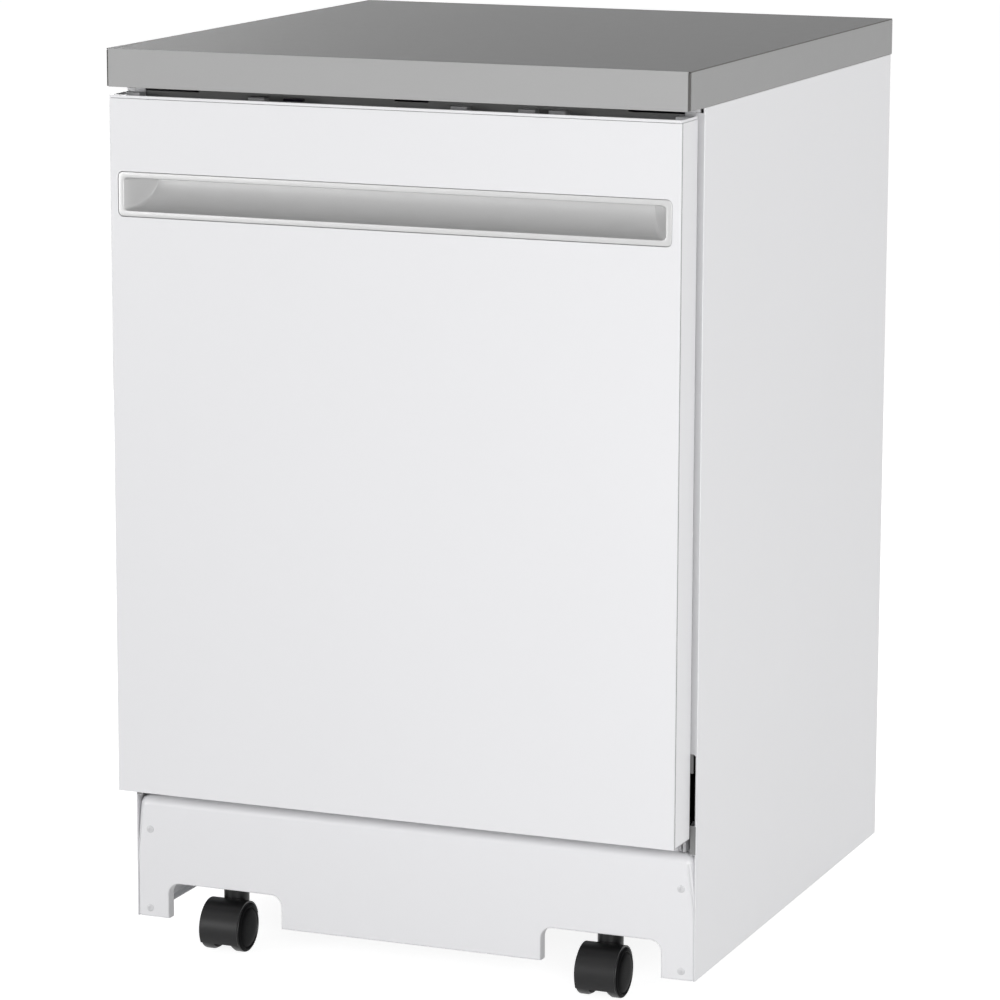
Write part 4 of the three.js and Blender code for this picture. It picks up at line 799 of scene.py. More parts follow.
def add_rear_panel():
    low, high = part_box("rear_panel")
    front, back = through(low.y, high.y)
    panel = cuboid("rear_sheet", low, high)
    cut(panel, outlined("hole", *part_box("cord_and_hose_outlet"), -0.006, (front, back)))
    beads = []
    for up in REAR_BEADS:
        proud = high.y + BEAD_PROUD
        ridge = cuboid("bead", (-BEAD_HALF, high.y - 0.0005, up), (BEAD_HALF, proud, up + BEAD_TALL))
        round_along(ridge, Y, 0.0079, 5)
        rounded(ridge, lambda a, b: min(a.y, b.y) > high.y, 0.0012, 2)
        beads.append(ridge)
    fuse(panel, *beads)
    slots = []
    for left in [VENT_LEFT + column * VENT_PITCH for column in range(7)]:
        for foot in VENT_FEET:
            slot = cuboid("slot", (left, front, foot), (left + VENT_LONG, back, foot + VENT_TALL))
            round_along(slot, Y, 0.0024, 3)
            slots.append(slot)
    cut(panel, gathered("slots", slots))
    dress(eased(panel, 0), "zinc_steel", stands_for=["rear_panel"])
    screws = [
        pan_head("screw", (side * REAR_SCREW_X, high.y + 0.0001, up), Y)
        for side in SIDES.values()
        for up in REAR_SCREWS
    ]
    dress(gathered("rear_sheet_screws", screws), "zinc_steel")


def add_outlet():
    low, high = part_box("cord_and_hose_outlet")
    sheet_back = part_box("rear_panel")[1].y
    plate = cuboid("outlet_plate", (low.x, sheet_back + SEAM, low.z), high)
    round_along(plate, Y, 0.005, 5)
    fuse(plate, outlined("neck", low, high, -0.0065, (low.y, sheet_back + 0.001)))
    middle = (low.z + high.z) / 2
    for across, radius in OUTLET_BORES:
        bore = rod("bore", (across, low.y - PAST, middle), Y, 0.05, radius, 28)
        wide = radius + 0.0025
        profile = [(0, wide), (0.0016, wide), (0.0024, radius + 0.0018)]
        fuse(plate, turned("rim", (across, high.y - 0.0025, middle), Y, profile, 28))
        cut(plate, bore)
    dress(eased(plate, 0.0004), "black_plastic", stands_for=["cord_and_hose_outlet"])


def add_cabinet():
    for name, side in SIDES.items():
        add_side_panel(name, side)
    add_toe_panel()
    add_sill()
    add_rear_panel()
    add_outlet()


# ---- Door ----

TRIM_HEIGHT = 0.0029  # strip along the door's top edge
TRIM_GAP = 0.0004
TOP_LIFT = 0.0012  # of the door's top edge and console over their solids
DOOR_ROUND = 0.0016
BEZEL_ROUND = 0.0052  # corners of the handle's frame
DOOR_SEAM = 0.0016, 0.0043  # groove in the side faces, from the front; its floor is painted grey as a painted shade line
DOOR_SEAM_DEPTH = 0.0003


def add_door_skin():
    low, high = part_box("door_outer_panel")
    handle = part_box("pocket_handle")
    lifted, front = high.z + TOP_LIFT, low.y + NEAR
    skin = cuboid("door_skin", low, (high.x, high.y, lifted - TRIM_HEIGHT - TRIM_GAP))
    round_along(skin, Z, DOOR_ROUND, 5, under(Y, front))
    round_along(skin, X, DOOR_ROUND, 5, lambda middle: middle.y < front and middle.z < 0.3)
    round_along(skin, Y, 0.001, 2, under(Z, 0.3))
    opened(skin, Z)
    pressed(skin, SHEET, Y)
    opening = outlined("opening", *handle, TRIM_GAP, (low.y - PAST, low.y + 0.006))
    round_along(opening, Y, BEZEL_ROUND + TRIM_GAP, 6)
    start, end = low.y + DOOR_SEAM[0], low.y + DOOR_SEAM[1]
    depth = high.x - DOOR_SEAM_DEPTH, 1
    cut(skin, opening, *[sided("groove", side, depth, (start, end), (0, 1)) for side in (1, -1)])
    dress(eased(skin, 0.0002, 1, 60), "white_enamel", "door", ["door_outer_panel"], PAINTED_SHADE_GREY)
    # The groove's floor takes the painted shade grey, for the dark line along the door's side edges.
    for face in skin.data.polygons:
        sunk = abs(face.normal.x) > 0.9 and 0.0002 < high.x - abs(face.center.x) < SHEET - 0.0001
        face.material_index = int(sunk and start < face.center.y < end)

    trim = cuboid("door_top_trim", (low.x, low.y, lifted - TRIM_HEIGHT), (high.x, high.y, lifted))
    round_along(trim, Z, DOOR_ROUND, 5, under(Y, 0))
    panel_low, panel_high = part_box("control_panel")
    well = (panel_low.x - SEAM, panel_low.y - SEAM, 0.8), (panel_high.x + SEAM, 0, 1)
    cut(trim, cuboid("well", *well))
    dress(eased(trim, 0.0005, 3), "white_enamel", "door")


BEZEL = 0.006
BEZEL_DEPTH, BEZEL_EASE = 0.003, 0.0007
POCKET_DEPTH, POCKET_SLANT, POCKET_STEPS = 0.033, 0.023, 12


def add_handle():
    """One thin moulding: a frame round the opening, and a hollow that is deep at the top and curves down to
    the lower lip between end walls that lean in."""
    low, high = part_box("pocket_handle")
    middle = (low.z + high.z) / 2
    bpy.ops.object.select_all(action="DESELECT")
    bpy.ops.mesh.primitive_plane_add(size=1, location=(0, low.y, middle), rotation=(pi / 2, 0, 0))
    bpy.context.object.scale = (high.x - low.x, high.z - low.z, 1)
    handle = settle("handle_moulding")
    with editing(handle, "VERT"):
        bpy.ops.mesh.select_all(action="SELECT")
        bpy.ops.mesh.bevel(offset=BEZEL_ROUND, segments=6, affect="VERTICES")

    top, mouth = high.z - BEZEL, high.z - low.z - 2 * BEZEL
    wide, tall = high.x, (high.z - low.z) / 2
    ease = BEZEL_EASE
    with editing(handle):
        bpy.ops.mesh.select_all(action="SELECT")
        bpy.ops.transform.translate(value=(0, BEZEL_DEPTH, 0))
        for back, new_wide, new_tall in (
            (ease - BEZEL_DEPTH, wide, tall),
            (-ease, wide - ease, tall - ease),
            (0, wide - BEZEL + ease, mouth / 2 + ease),
            (ease, wide - BEZEL, mouth / 2),
        ):
            extrude((0, back, 0))
            resize((new_wide / wide, 1, new_tall / tall), (0, 0, middle))
            wide, tall = new_wide, new_tall
        drop, last = mouth, ease
        for step in range(1, POCKET_STEPS + 1):
            turn = pi / 2 * step / POCKET_STEPS
            back, new_drop = POCKET_DEPTH * sin(turn), max(mouth * cos(turn), 0.0004)
            new_wide = high.x - BEZEL - POCKET_SLANT * sin(turn)
            extrude((0, back - last, 0))
            resize((new_wide / wide, 1, new_drop / drop), (0, 0, top))
            drop, wide, last = new_drop, new_wide, back
    opened(handle, Y)
    applied(handle, "SOLIDIFY", thickness=0.0016, offset=-1, use_even_offset=False)
    dress(eased(handle, 0), "handle_grey", "door", ["pocket_handle"])


KEYS = {f"key_{number}": f"button_{number}" for number in range(1, 5)}
KEY_SHIFT = (0.0022, 0.002), (0.004, 0.0022)  # of a key's two corners from its solid's
LENS_SHIFT = (0.0044, 0.0054), (0.001, 0.0014)
CORNER_X, CORNER_Y = 0.2835, -0.298  # inner corner of the white blocks at the console's ends


def console_box(node, shift=((0, 0), (0, 0))):
    low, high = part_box(node)
    return low + Vector((*shift[0], TOP_LIFT)), high + Vector((*shift[1], TOP_LIFT))


def add_console():
    low, high = console_box("control_panel")
    fascia = cuboid("console_fascia", low, high)
    past = (CORNER_X - SEAM, 1), (CORNER_Y - SEAM, 0), (0, 1)
    cut(fascia, *[sided("corner", side, *past) for side in (1, -1)])
    framed(fascia, Z, (0.0022, 0), sink=0.0004)
    pressed(fascia, 0.0022, -Z)
    wells = []
    shifts = {node: KEY_SHIFT for node in KEYS.values()}
    for node, shift in {**shifts, "display_window": LENS_SHIFT}.items():
        key_low, key_high = console_box(node, shift)
        well = cuboid(
            "well",
            (key_low.x - SEAM, key_low.y - SEAM, high.z - 0.006),
            (key_high.x + SEAM, key_high.y + SEAM, high.z + 0.001),
        )
        round_along(well, Z, 0.0016, 4)
        wells.append(well)
    latch_low, latch_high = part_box("door_latch")
    gap = cuboid(
        "gap",
        (latch_low.x - SEAM, high.y - 0.004, low.z - 0.001),
        (latch_high.x + SEAM, high.y + 0.001, high.z - 0.0024),
    )
    cut(fascia, *wells, gap)
    dress(eased(fascia, 0.0004), "dark_plastic", "door", ["control_panel"])

    for name, node in KEYS.items():
        key = cuboid(name, *console_box(node, KEY_SHIFT))
        round_along(key, Z, 0.0014, 4)
        framed(key, Z, (0.0008, 0), (0.0016, 0), sink=0.0003)
        dress(eased(key, 0.0002), "dark_plastic", node, [node]).data.materials[0] = KEY_GREY

    lens = cuboid("display_lens", *console_box("display_window", LENS_SHIFT))
    round_along(lens, Z, 0.0014, 4)
    framed(lens, Z, (0.0009, 0), sink=0.0002)
    dress(eased(lens, 0.0002), "window", "door", ["display_window"])

    for name, side in SIDES.items():
        across, along = (CORNER_X, high.x), (CORNER_Y, high.y)
        block = sided(f"console_corner_{name}", side, across, along, (low.z, high.z))
        dress(eased(block, 0.0006), "white_enamel", "door")


# ---- Casters ----


HUB_CAP = 0.004  # how far a wheel's cap bulges past its tread
CAP_BULGE = 0.0028  # and past its solid
HOOD_INSET = 0.0008  # of the hood's ends
WHEEL_SPACE = 0.0055  # from the middle to each wheel
HOOD_FOOT = 0.0112
WEB_FOOT = 0.0138  # of the web between the wheels
AXLE_TRAIL = 0.0195  # from the stem back to the axle
HOOD_PLAY, HOOD_WALL = 0.0006, 0.0018  # over the wheels
AXLE_RADIUS, AXLE_BORE = 0.004, 0.0043
STEM = (0, 0.0055), (0.038, 0.0055), (0.041, 0.004)
COLLAR = (0, 0.0132), (0.0245, 0.0132), (0.0258, 0.0121), (0.0258, 0.0091), (0.0249, 0.0091)
# A wheel's outline, as (distance along the axle, how far under the tread).
INNER_RIM = (0, 0.0075), (0.0016, 0.0045), (0.0042, 0.0018), (0.0075, 0)
CAP_RIM = (0, 0), (0.0011, 0.0005), (0.0022, 0.0019), (0.0025, 0.0034), (0.001, 0.0042), (0.001, 0.005)
CAP_DOME = (0.0024, 0.006), (0.0034, 0.0102), (0.0038, 0.015)


def caster_hood(middle, radius, wide):
    """A barrel over both wheels, open below and behind, with a web between the wheels and a round collar."""
    inner, outer = radius + HOOD_PLAY, radius + HOOD_PLAY + HOOD_WALL
    half = wide / 2 - HOOD_INSET
    stem_y = middle.y + AXLE_TRAIL
    far_left = (middle.x - wide, *middle.yz)

    def trimmer(start, end, top):
        """A cutter across the whole caster, from start to end along Y and up to a level."""
        return cuboid(
            "trimmer",
            (middle.x - wide, middle.y + start, -0.02),
            (middle.x + wide, middle.y + end, top),
        )

    hood = rod("hood", (middle.x - half, *middle.yz), X, 2 * half, outer, 64)
    mouth = trimmer(-outer * 0.8, 0.06, middle.z - 0.001)
    below, behind = trimmer(-0.05, 0.05, HOOD_FOOT), trimmer(0, 0.06, middle.z + 0.009)
    cut(hood, rod("hollow", far_left, X, 2 * wide, inner, 64), mouth, below, behind)

    web = rod("web", (middle.x - 0.0043, *middle.yz), X, 0.0086, outer - 0.0008, 48)
    bore = rod("bore", (middle.x - 2 * PAST, *middle.yz), X, 4 * PAST, AXLE_BORE, 24)
    cut(web, trimmer(-0.05, 0.05, WEB_FOOT), trimmer(0.012, 0.05, middle.z), bore)

    collar = turned("collar", (middle.x, stem_y, middle.z + 0.014), Z, COLLAR, 40)
    cut(collar, rod("cup", far_left, X, 2 * wide, inner, 48))
    stem = turned("stem", (middle.x, stem_y, 0.06), Z, STEM, 24)
    return fuse(hood, web, collar, stem)


def caster_wheels(name, middle, radius, wide):
    """Two wheels on one axle, each with a shallow domed cap inside a raised rim."""
    deep = wide / 2 + CAP_BULGE - WHEEL_SPACE
    cap = [(deep - HUB_CAP + far, down) for far, down in (*CAP_RIM, *CAP_DOME)]
    profile = [(far, radius - down) for far, down in (*INNER_RIM, *cap)] + [(deep, AXLE_RADIUS)]
    wheels = [
        turned("wheel", (middle.x + side * WHEEL_SPACE, *middle.yz), side * X, profile, 56)
        for side in SIDES.values()
    ]
    axle = rod("axle", (middle.x - 0.006, *middle.yz), X, 0.012, AXLE_RADIUS, 24)
    return gathered(name, [*wheels, axle])


def add_caster(end, name):
    hood_node, wheel_node = f"caster_hood_{end}_{name}", f"caster_wheels_{end}_{name}"
    low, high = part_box(wheel_node)
    middle, radius, wide = (low + high) / 2, (high.z - low.z) / 2, high.x - low.x
    hood = caster_hood(middle, radius, wide)
    hood.name = hood.data.name = f"caster_{end}_{name}_hood"
    dress(eased(hood, 0.0003), "black_plastic", hood_node, [hood_node])
    pair = caster_wheels(f"caster_{end}_{name}_wheels", middle, radius, wide)
    dress(eased(pair, 0), "black_plastic", wheel_node, [wheel_node], CAP_NYLON)
    for face in pair.data.polygons:
        face.material_index = int(abs(face.normal.x) > 0.5)


def add_casters():
    for end in ENDS:
        for name in SIDES:
            add_caster(end, name)


# ---- Tub ----

TUB_HALF = 0.27
TUB_FLOOR, TUB_TOP = 0.208, 0.848
TUB_WALL = 0.002
TUB_ROUND = 0.02
HUB_Y = 0.02  # spray arms' axis
SUMP_X = 0.075
TRACK_X = 0.246
TRACK_Z = 0.232, 0.236
ARM_LEVEL = 0.24  # the flange is narrower under this, beside the hinge arms
ARM_SIDE = 0.286
FLANGE_FOOT = 0.19
FLANGE_NOTCHES = (-0.286, -0.228), (-0.016, 0.02), (0.228, 0.286)
FLANGE_NOTCH_DEPTH = 0.007
BEAD = 0.012, 0.0022  # width and height of the ridges in the tub's walls
BACK_BEADS, BACK_RISE = (0.06, 0.115, 0.17, 0.225), (0.28, 0.81)
SIDE_RISES = (0.29, 0.6), (0.68, 0.81)
FLOOR_BEADS, FLOOR_BEAD_HALF = (-0.16, -0.1, 0.11, 0.17, 0.23), 0.16
TRACK_START = -0.247
FLOAT_PIN = 0.2, -0.19
FOOT_X, FOOT_Y, FOOT_Z = (0.252, 0.268), (-0.238, 0.276), 0.0866  # of the tub's feet on the base frame
FELT_X, FELT_Y, FELT_Z = 0.2822, (-0.262, 0.285), (0.108, 0.846)
LATCH_LEVEL = 0.875
TONGUE_HALF, EYE_HALF = 0.009, 0.0055  # of the strike's tongue, and of the hole that the catch goes in


def bead(piece, face):
    """Eases the far edges of a ridge on a wall."""
    corners = [vertex.co for vertex in piece.data.vertices]
    middle = sum(corners, Vector()) / len(corners)
    rounded(piece, lambda a, b: min((a - middle).dot(face), (b - middle).dot(face)) > 0, 0.0016, 3)
    return piece


def tub_beads(back):
    """Ridges on the tub's walls and floor, and the tracks that the lower rack rolls on."""
    wide, proud = BEAD
    half, inside = wide / 2, (TUB_HALF - proud, TUB_HALF + 0.001)
    beads = [
        bead(sided("bead", side, (x - half, x + half), (back - proud, back + 0.001), BACK_RISE), -Y)
        for x in BACK_BEADS
        for side in SIDES.values()
    ]
    for side in SIDES.values():
        for y in [-0.2 + 0.08 * step for step in range(6)]:
            for up in SIDE_RISES:
                beads.append(bead(sided("bead", side, inside, (y, y + wide), up), -side * X))
    for y in FLOOR_BEADS:
        foot, top = (-FLOOR_BEAD_HALF, y, TUB_FLOOR - 0.001), (FLOOR_BEAD_HALF, y + wide, TUB_FLOOR + proud)
        beads.append(bead(cuboid("bead", foot, top), Z))
    track = (TRACK_X, TUB_HALF + 0.001), (TRACK_START, back + 0.001), TRACK_Z
    beads += [bead(sided("track", side, *track), -side * X) for side in SIDES.values()]
    return beads


def add_tub():
    low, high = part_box("tub")
    back = high.y - TUB_WALL
    tub = cuboid(
        "tub_moulding",
        (-TUB_HALF - TUB_WALL, low.y + 0.001, TUB_FLOOR - TUB_WALL),
        (TUB_HALF + TUB_WALL, high.y, TUB_TOP + TUB_WALL),
    )
    round_along(tub, Y, TUB_ROUND)
    rounded(tub, lambda a, b: min(a.y, b.y) > high.y - 0.0005, TUB_ROUND, 4)
    pressed(tub, TUB_WALL, -Y)

    flange = cuboid("flange", (low.x, low.y, FLANGE_FOOT), (high.x, low.y + TUB_WALL, high.z))
    along = through(low.y, low.y)
    mouth = cuboid("mouth", (-TUB_HALF, along[0], TUB_FLOOR), (TUB_HALF, along[1], TUB_TOP))
    round_along(mouth, Y, TUB_ROUND - TUB_WALL)
    sides = [sided("side", side, (ARM_SIDE, 0.4), along, (0, ARM_LEVEL)) for side in (1, -1)]
    notches = [
        cuboid("notch", (left, along[0], high.z - FLANGE_NOTCH_DEPTH), (right, along[1], 1))
        for left, right in FLANGE_NOTCHES
    ]
    cut(flange, mouth, *sides, *notches)
    fuse(tub, flange)

    foot = (*FLOAT_PIN, TUB_FLOOR - 0.001)
    pin = turned("pin", foot, Z, [(0, 0.004), (0.014, 0.004), (0.015, 0.003)], 20)
    fuse(tub, gathered("beads", [*tub_beads(back), pin]))
    cut(tub, rod("drain", (SUMP_X, HUB_Y, 0.1), Z, 0.2, 0.044, 48))
    cut(tub, rod("inlet", (0, HUB_Y, 0.1), Z, 0.2, 0.0143))
    dress(eased(tub, 0), "tub_plastic", stands_for=["tub"], second=PAINTED_SHADE_GREY)
    # The tub's front face takes the painted shade grey, for the shadow under the worktop.
    for face in tub.data.polygons:
        face.material_index = int(face.center.y < low.y + TUB_WALL + 0.0002)

    feet = [
        sided("tub_foot", side, FOOT_X, (y, y + 0.016), (FOOT_Z, TUB_FLOOR - TUB_WALL))
        for side in SIDES.values()
        for y in FOOT_Y
    ]
    for foot in feet:
        round_along(foot, Z, 0.002, 2)
    dress(eased(gathered("tub_feet", feet), 0), "tub_plastic")


def add_blankets():
    """Felt on the tub's sides, which the slots beside the door would otherwise show past."""
    for name, side in SIDES.items():
        felt = sided(f"felt_{name}", side, (TUB_HALF + TUB_WALL + 0.0008, FELT_X), FELT_Y, FELT_Z)
        round_along(felt, X, 0.02, 5)
        dress(eased(felt, 0.003, 3), "rubber").data.materials[0] = BLANKET


def add_seal():
    low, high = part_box("tub_gasket")
    thick, y = high.y - low.y, (low.y + high.y) / 2
    x, top = high.x - thick / 2, high.z - thick / 2
    run = bent([(-x, y, low.z), (-x, y, top), (x, y, top), (x, y, low.z)], 0.022, steps=6)
    dress(wirework("door_seal", [run], thick, roundness=4), "rubber", stands_for=["tub_gasket"])


def add_strike():
    low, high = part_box("latch_strike")
    sheet, level = 0.0015, LATCH_LEVEL
    plate = cuboid("strike_plate", (low.x, high.y - sheet, low.z), high)
    round_along(plate, Y, 0.003)
    tongue = cuboid(
        "tongue", (-TONGUE_HALF, low.y, level - sheet), (TONGUE_HALF, high.y - 0.0005, level + sheet)
    )
    round_along(tongue, Z, 0.003, 4, under(Y, low.y + NEAR))
    fuse(plate, tongue)
    foot, top = through(level, level)
    eye = cuboid("eye", (-EYE_HALF, low.y + 0.004, foot), (EYE_HALF, high.y - 0.006, top))
    round_along(eye, Z, 0.002)
    cut(plate, eye)
    dress(eased(plate, 0.0003), "stainless", stands_for=["latch_strike"])


def add_upper_rails():
    for name in SIDES:
        soften_solid(f"rack_rail_{name}", 0.0004)


# ---- Wash system ----

FILTER_HOLES = (32, 0.034), (36, 0.0376), (42, 0.0412)  # how many in each ring, and its radius


def add_filter():
    low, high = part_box("filter_plate")
    middle, rim = (low + high) / 2, (high.x - low.x) / 2
    foot, start = (*middle.xy, low.z), Vector((*middle.xy, low.z - PAST))
    plate = turned("filter_ring", foot, Z, [(0, rim), (0.0024, rim), (0.003, rim - 0.0008)], 64)
    holes = [
        rod("hole", around(start, ring, 2 * pi * i / count), Z, 2 * PAST, 0.0011, 8)
        for count, ring in FILTER_HOLES
        for i in range(count)
    ]
    cut(plate, rod("bore", start, Z, 2 * PAST, 0.0306, 48), gathered("holes", holes))
    dress(eased(plate, 0), "stainless", stands_for=["filter_plate"])

    low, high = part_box("filter_cylinder")
    middle, wide = (low + high) / 2, (high.x - low.x) / 2
    deck = high.z - 0.007
    neck = wide - 0.0012
    profile = [(0, wide - 0.001), (0.0015, wide), (0.006, wide), (0.007, neck), (0.05, neck)]
    cup = turned("filter_cup", (*middle.xy, low.z), Z, profile, 48)
    dress(eased(cup, 0), "white_plastic", "filter_cylinder", ["filter_cylinder"])
    cup.data.materials[0] = MESH_CLOTH
    tall = deck - low.z - 0.0502
    profile = [(0, wide), (tall - 0.002, wide), (tall, wide - 0.0015)]
    cap = turned("filter_cap", (*middle.xy, low.z + 0.0502), Z, profile, 48)
    grip = cuboid(
        "grip",
        (middle.x - wide / 2, middle.y - 0.003, deck - 0.003),
        (middle.x + wide / 2, middle.y + 0.003, high.z),
    )
    round_along(grip, Y, 0.003, 4, over(Z, deck))
    fuse(cap, grip)
    dress(eased(cap, 0.0006), "white_plastic", "filter_cylinder")


ARM_THICK = 0.009
ARM_HUB = 0.024  # half width of the blade at the hub
ARM_TIP = (0, 0.0012, 0.005), (0.0012, 0.0026, 0.0085), (0.005, 0.0041, 0.0118), (0.013, 0.0045, 0.013)
HUB_WIDE, HUB_NECK, HUB_END = 0.0228, 0.0205, 0.017
HUB_BORE = 0.0093
JET = Vector((-0.0035, -0.0007, -0.0016)), Vector((0.0035, 0.0007, 0.004))
JET_SHIFT = 0.004  # beside the arm's middle line
JET_FIRST, JET_LAST = 0.045, 0.02  # from the hub's axis, and from the tip


def add_spray_arm(node, standing):
    """A hollow arm drawn out to round tips, with a turned hub and slanting jets along its top."""
    low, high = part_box(node)
    half, thick = (high.x - low.x) / 2, ARM_THICK / 2
    y = (low.y + high.y) / 2
    foot = low.z if standing else high.z - ARM_THICK
    blade = [*ARM_TIP, (half - 0.022, thick, 0.0215)]
    far = [(2 * half - distance, tall, wide) for distance, tall, wide in reversed(blade)]
    arm = drawn(f"{node}_blade", (low.x, y, foot + thick), X, [*blade, (half, thick, ARM_HUB), *far], 24)
    if standing:
        tall, hub_foot = high.z - foot - 0.001, foot + 0.001
        profile = [(0, 0.0215), (0.0008, HUB_WIDE), (tall - 0.003, HUB_WIDE)]
        profile += [(tall - 0.001, HUB_NECK), (tall, HUB_END)]
    else:
        tall, hub_foot = high.z - 0.001 - low.z, low.z
        profile = [(0, HUB_END), (0.001, HUB_NECK), (0.003, HUB_WIDE), (tall, HUB_WIDE)]
    fuse(arm, turned("hub", (0, y, hub_foot), Z, profile))
    jets = []
    for i, reach in enumerate(spread(6, JET_FIRST, half - JET_LAST)):
        for side in SIDES.values():
            jet = cuboid("jet", *JET)
            spot = Vector((side * reach, y + (JET_SHIFT if i % 2 else -JET_SHIFT), foot + ARM_THICK))
            turn = Matrix.Rotation(radians(35 * side + 40 * i), 4, "Z")
            jet.data.transform(Matrix.Translation(spot) @ turn)
            jets.append(jet)
    cut(arm, gathered("jets", jets))
    if standing:
        cut(arm, rod("bore", (0, y, low.z - 2 * PAST), Z, 0.028, HUB_BORE, 28))
    dress(eased(arm, 0), "tub_plastic", node, [node])


def add_heater():
    low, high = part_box("heater_element")
    tube = 0.008
    radius, level = high.x - tube / 2, high.z - tube / 2 + 0.0004
    ring = [around((0, HUB_Y, level), radius, 2 * pi * i / 72) for i in range(72)]
    loop = wirework("heater_loop", [ring], tube - 0.0008, closed=(0,), roundness=4)
    clips = []
    for degrees in (30, 150, 270):
        turn = radians(degrees)
        x, y = radius * cos(turn), HUB_Y + radius * sin(turn)
        clip = cuboid("clip", (x - 0.005, y - 0.0035, low.z), (x + 0.005, y + 0.0035, level - 0.001))
        round_along(clip, Z, 0.0015, 3)
        clips.append(clip)
    dress(loop, "stainless", stands_for=["heater_element"])
    dress(eased(gathered("heater_clips", clips), 0.0004), "stainless")


FLOAT_WALL = (0, 0.0152), (0.0008, 0.016), (0.021, 0.016)
FLOAT_DOME = (0.0235, 0.0152), (0.0275, 0.0122), (0.0292, 0.0095), (0.0297, 0.0070)


def add_float():
    low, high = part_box("overfill_float")
    foot = Vector((*((low + high) / 2).xy, low.z))
    cap = turned("float_cap", foot, Z, [*FLOAT_WALL, *FLOAT_DOME], 40)
    slots = []
    for i in range(8):
        slot = cuboid("slot", (0.0145, -0.0012, 0.004), (0.02, 0.0012, 0.016))
        slot.data.transform(Matrix.Translation(foot) @ Matrix.Rotation(2 * pi * i / 8, 4, "Z"))
        slots.append(slot)
    cut(cap, rod("bore", foot - 0.01 * Z, Z, 0.031, 0.0043, 20), gathered("slots", slots))
    dress(eased(cap, 0), "white_plastic", "overfill_float", ["overfill_float"])


# Outlines along a pump's axis, as (distance, radius): the motor, and the pump house with its inlet.
WASH_MOTOR = (0, 0.02), (0.002, 0.026), (0.006, 0.031), (0.076, 0.031), (0.08, 0.034)
WASH_HOUSE = (0.08, 0.0435), (0.083, 0.045), (0.117, 0.045), (0.12, 0.0425)
WASH_INLET = (0.12, 0.0135), (0.124, 0.012), (0.1455, 0.012)
DRAIN_SPOUT = (0, 0.0112), (0.001, 0.012), (0.012, 0.012)
DRAIN_HOUSE = (0.012, 0.0245), (0.014, 0.026), (0.03, 0.026)
DRAIN_MOTOR = (0.031, 0.022), (0.07, 0.022), (0.074, 0.0195), (0.0755, 0.013)


def motor(name, node, finish, outline, fin_places, fin_radius):
    """A pump lying along X: turned steps from its low end, and cooling fins round the motor."""
    low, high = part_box(node)
    y, z = ((low + high) / 2).yz
    body = turned(name, (low.x, y, z), X, outline, 48)
    for along in fin_places:
        fuse(body, rod("fin", (low.x + along, y, z), X, 0.0016, fin_radius, 48))
    dress(eased(body, 0.0005), finish, stands_for=[node])


def add_pumps():
    wash, drain = [*WASH_MOTOR, *WASH_HOUSE, *WASH_INLET], [*DRAIN_SPOUT, *DRAIN_HOUSE, *DRAIN_MOTOR]
    motor("wash_pump", "circulation_pump", "black_plastic", wash, spread(9, 0.012, 0.07), 0.036)
    motor("drain_pump_body", "drain_pump", "white_plastic", drain, spread(7, 0.035, 0.066), 0.0252)
    soften_solid("inlet_valve", 0.0012)
    soften_solid("sump", 0.0012)
    soften_solid("water_conduit", 0.003, 3)
    soften_solid("upper_feed_pipe", 0.003, 3)


# ---- Racks ----

RIM_WIRE = 0.0042
RACK_WIRE = 0.0028
TINE_WIRE = 0.003
GRIP_HALF, GRIP_END = 0.085, 0.015  # half length of a rack's grip, and its solid end beside the hollow
TINE_FOOT = RACK_WIRE * 2.4  # of the tines' foot wires over the rack's underside
UPPER_HALF, LOWER_HALF = 0.245, 0.24
UPPER_BACK = 0.2551
LOWER_FOOT = 0.2523
UPPER_TINES = -0.165, -0.1, -0.04, 0.04, 0.1, 0.165
LOWER_TINES = -0.18, -0.1, -0.02, 0.06
RUNNER_X, RUNNER_Z = 0.2584, (0.6343, 0.6457)
BRACKET_X, BRACKET_Y, BRACKET_Z = 0.2586, (-0.19, 0.005, 0.2), (0.6355, 0.6445)
AXLE_END, AXLE_Y, AXLE_Z = 0.2588, (-0.07, 0.205), 0.2543


def basket_runs(half, front, back, foot, top, levels):
    """Closed rims at the levels, and bent wires down the sides and across the floor, both ways."""
    rim = RIM_WIRE / 2
    x, y0, y1 = half - rim, front + rim, back - rim
    runs = [bent([(-x, y0, z), (x, y0, z), (x, y1, z), (-x, y1, z)], 0.024, True, 6) for z in levels]
    inset = rim + RACK_WIRE / 2 - 0.0003
    low, high = foot + RACK_WIRE / 2, top - rim
    a, b = y0 + inset, y1 - inset
    for across in spread(13, -x + 0.03, x - 0.03):
        runs.append(bent([(across, a, high), (across, a, low), (across, b, low), (across, b, high)], 0.012))
    end, level = x - inset, low + RACK_WIRE - 0.0002
    for y in spread(13, y0 + 0.03, y1 - 0.03):
        runs.append(bent([(-end, y, high), (-end, y, level), (end, y, level), (end, y, high)], 0.012))
    return runs, range(len(levels))


def tine_runs(places, front, back, count, foot, height, lean):
    """Rows of tines from front to back, each row on its own foot wire."""
    runs = []
    for x in places:
        runs.append([(x, front - 0.008, foot), (x, back + 0.008, foot)])
        runs += [[(x, y, foot), (x + lean, y, foot + height)] for y in spread(count, front, back)]
    return runs


def add_rack_grip(name, body, front, top):
    low, high = (-GRIP_HALF, front + 0.0005, top - 0.03), (GRIP_HALF, front + 0.0105, top - 0.0005)
    grip = cuboid(name, low, high)
    round_along(grip, Y, 0.008, 5)
    half = GRIP_HALF - GRIP_END
    hollow = cuboid("hollow", (-half, front - PAST, top - 0.023), (half, front + 0.0075, top - 0.009))
    round_along(hollow, Y, 0.0055, 5)
    cut(grip, hollow)
    dress(eased(grip, 0.0008, 3), "tub_plastic", body)


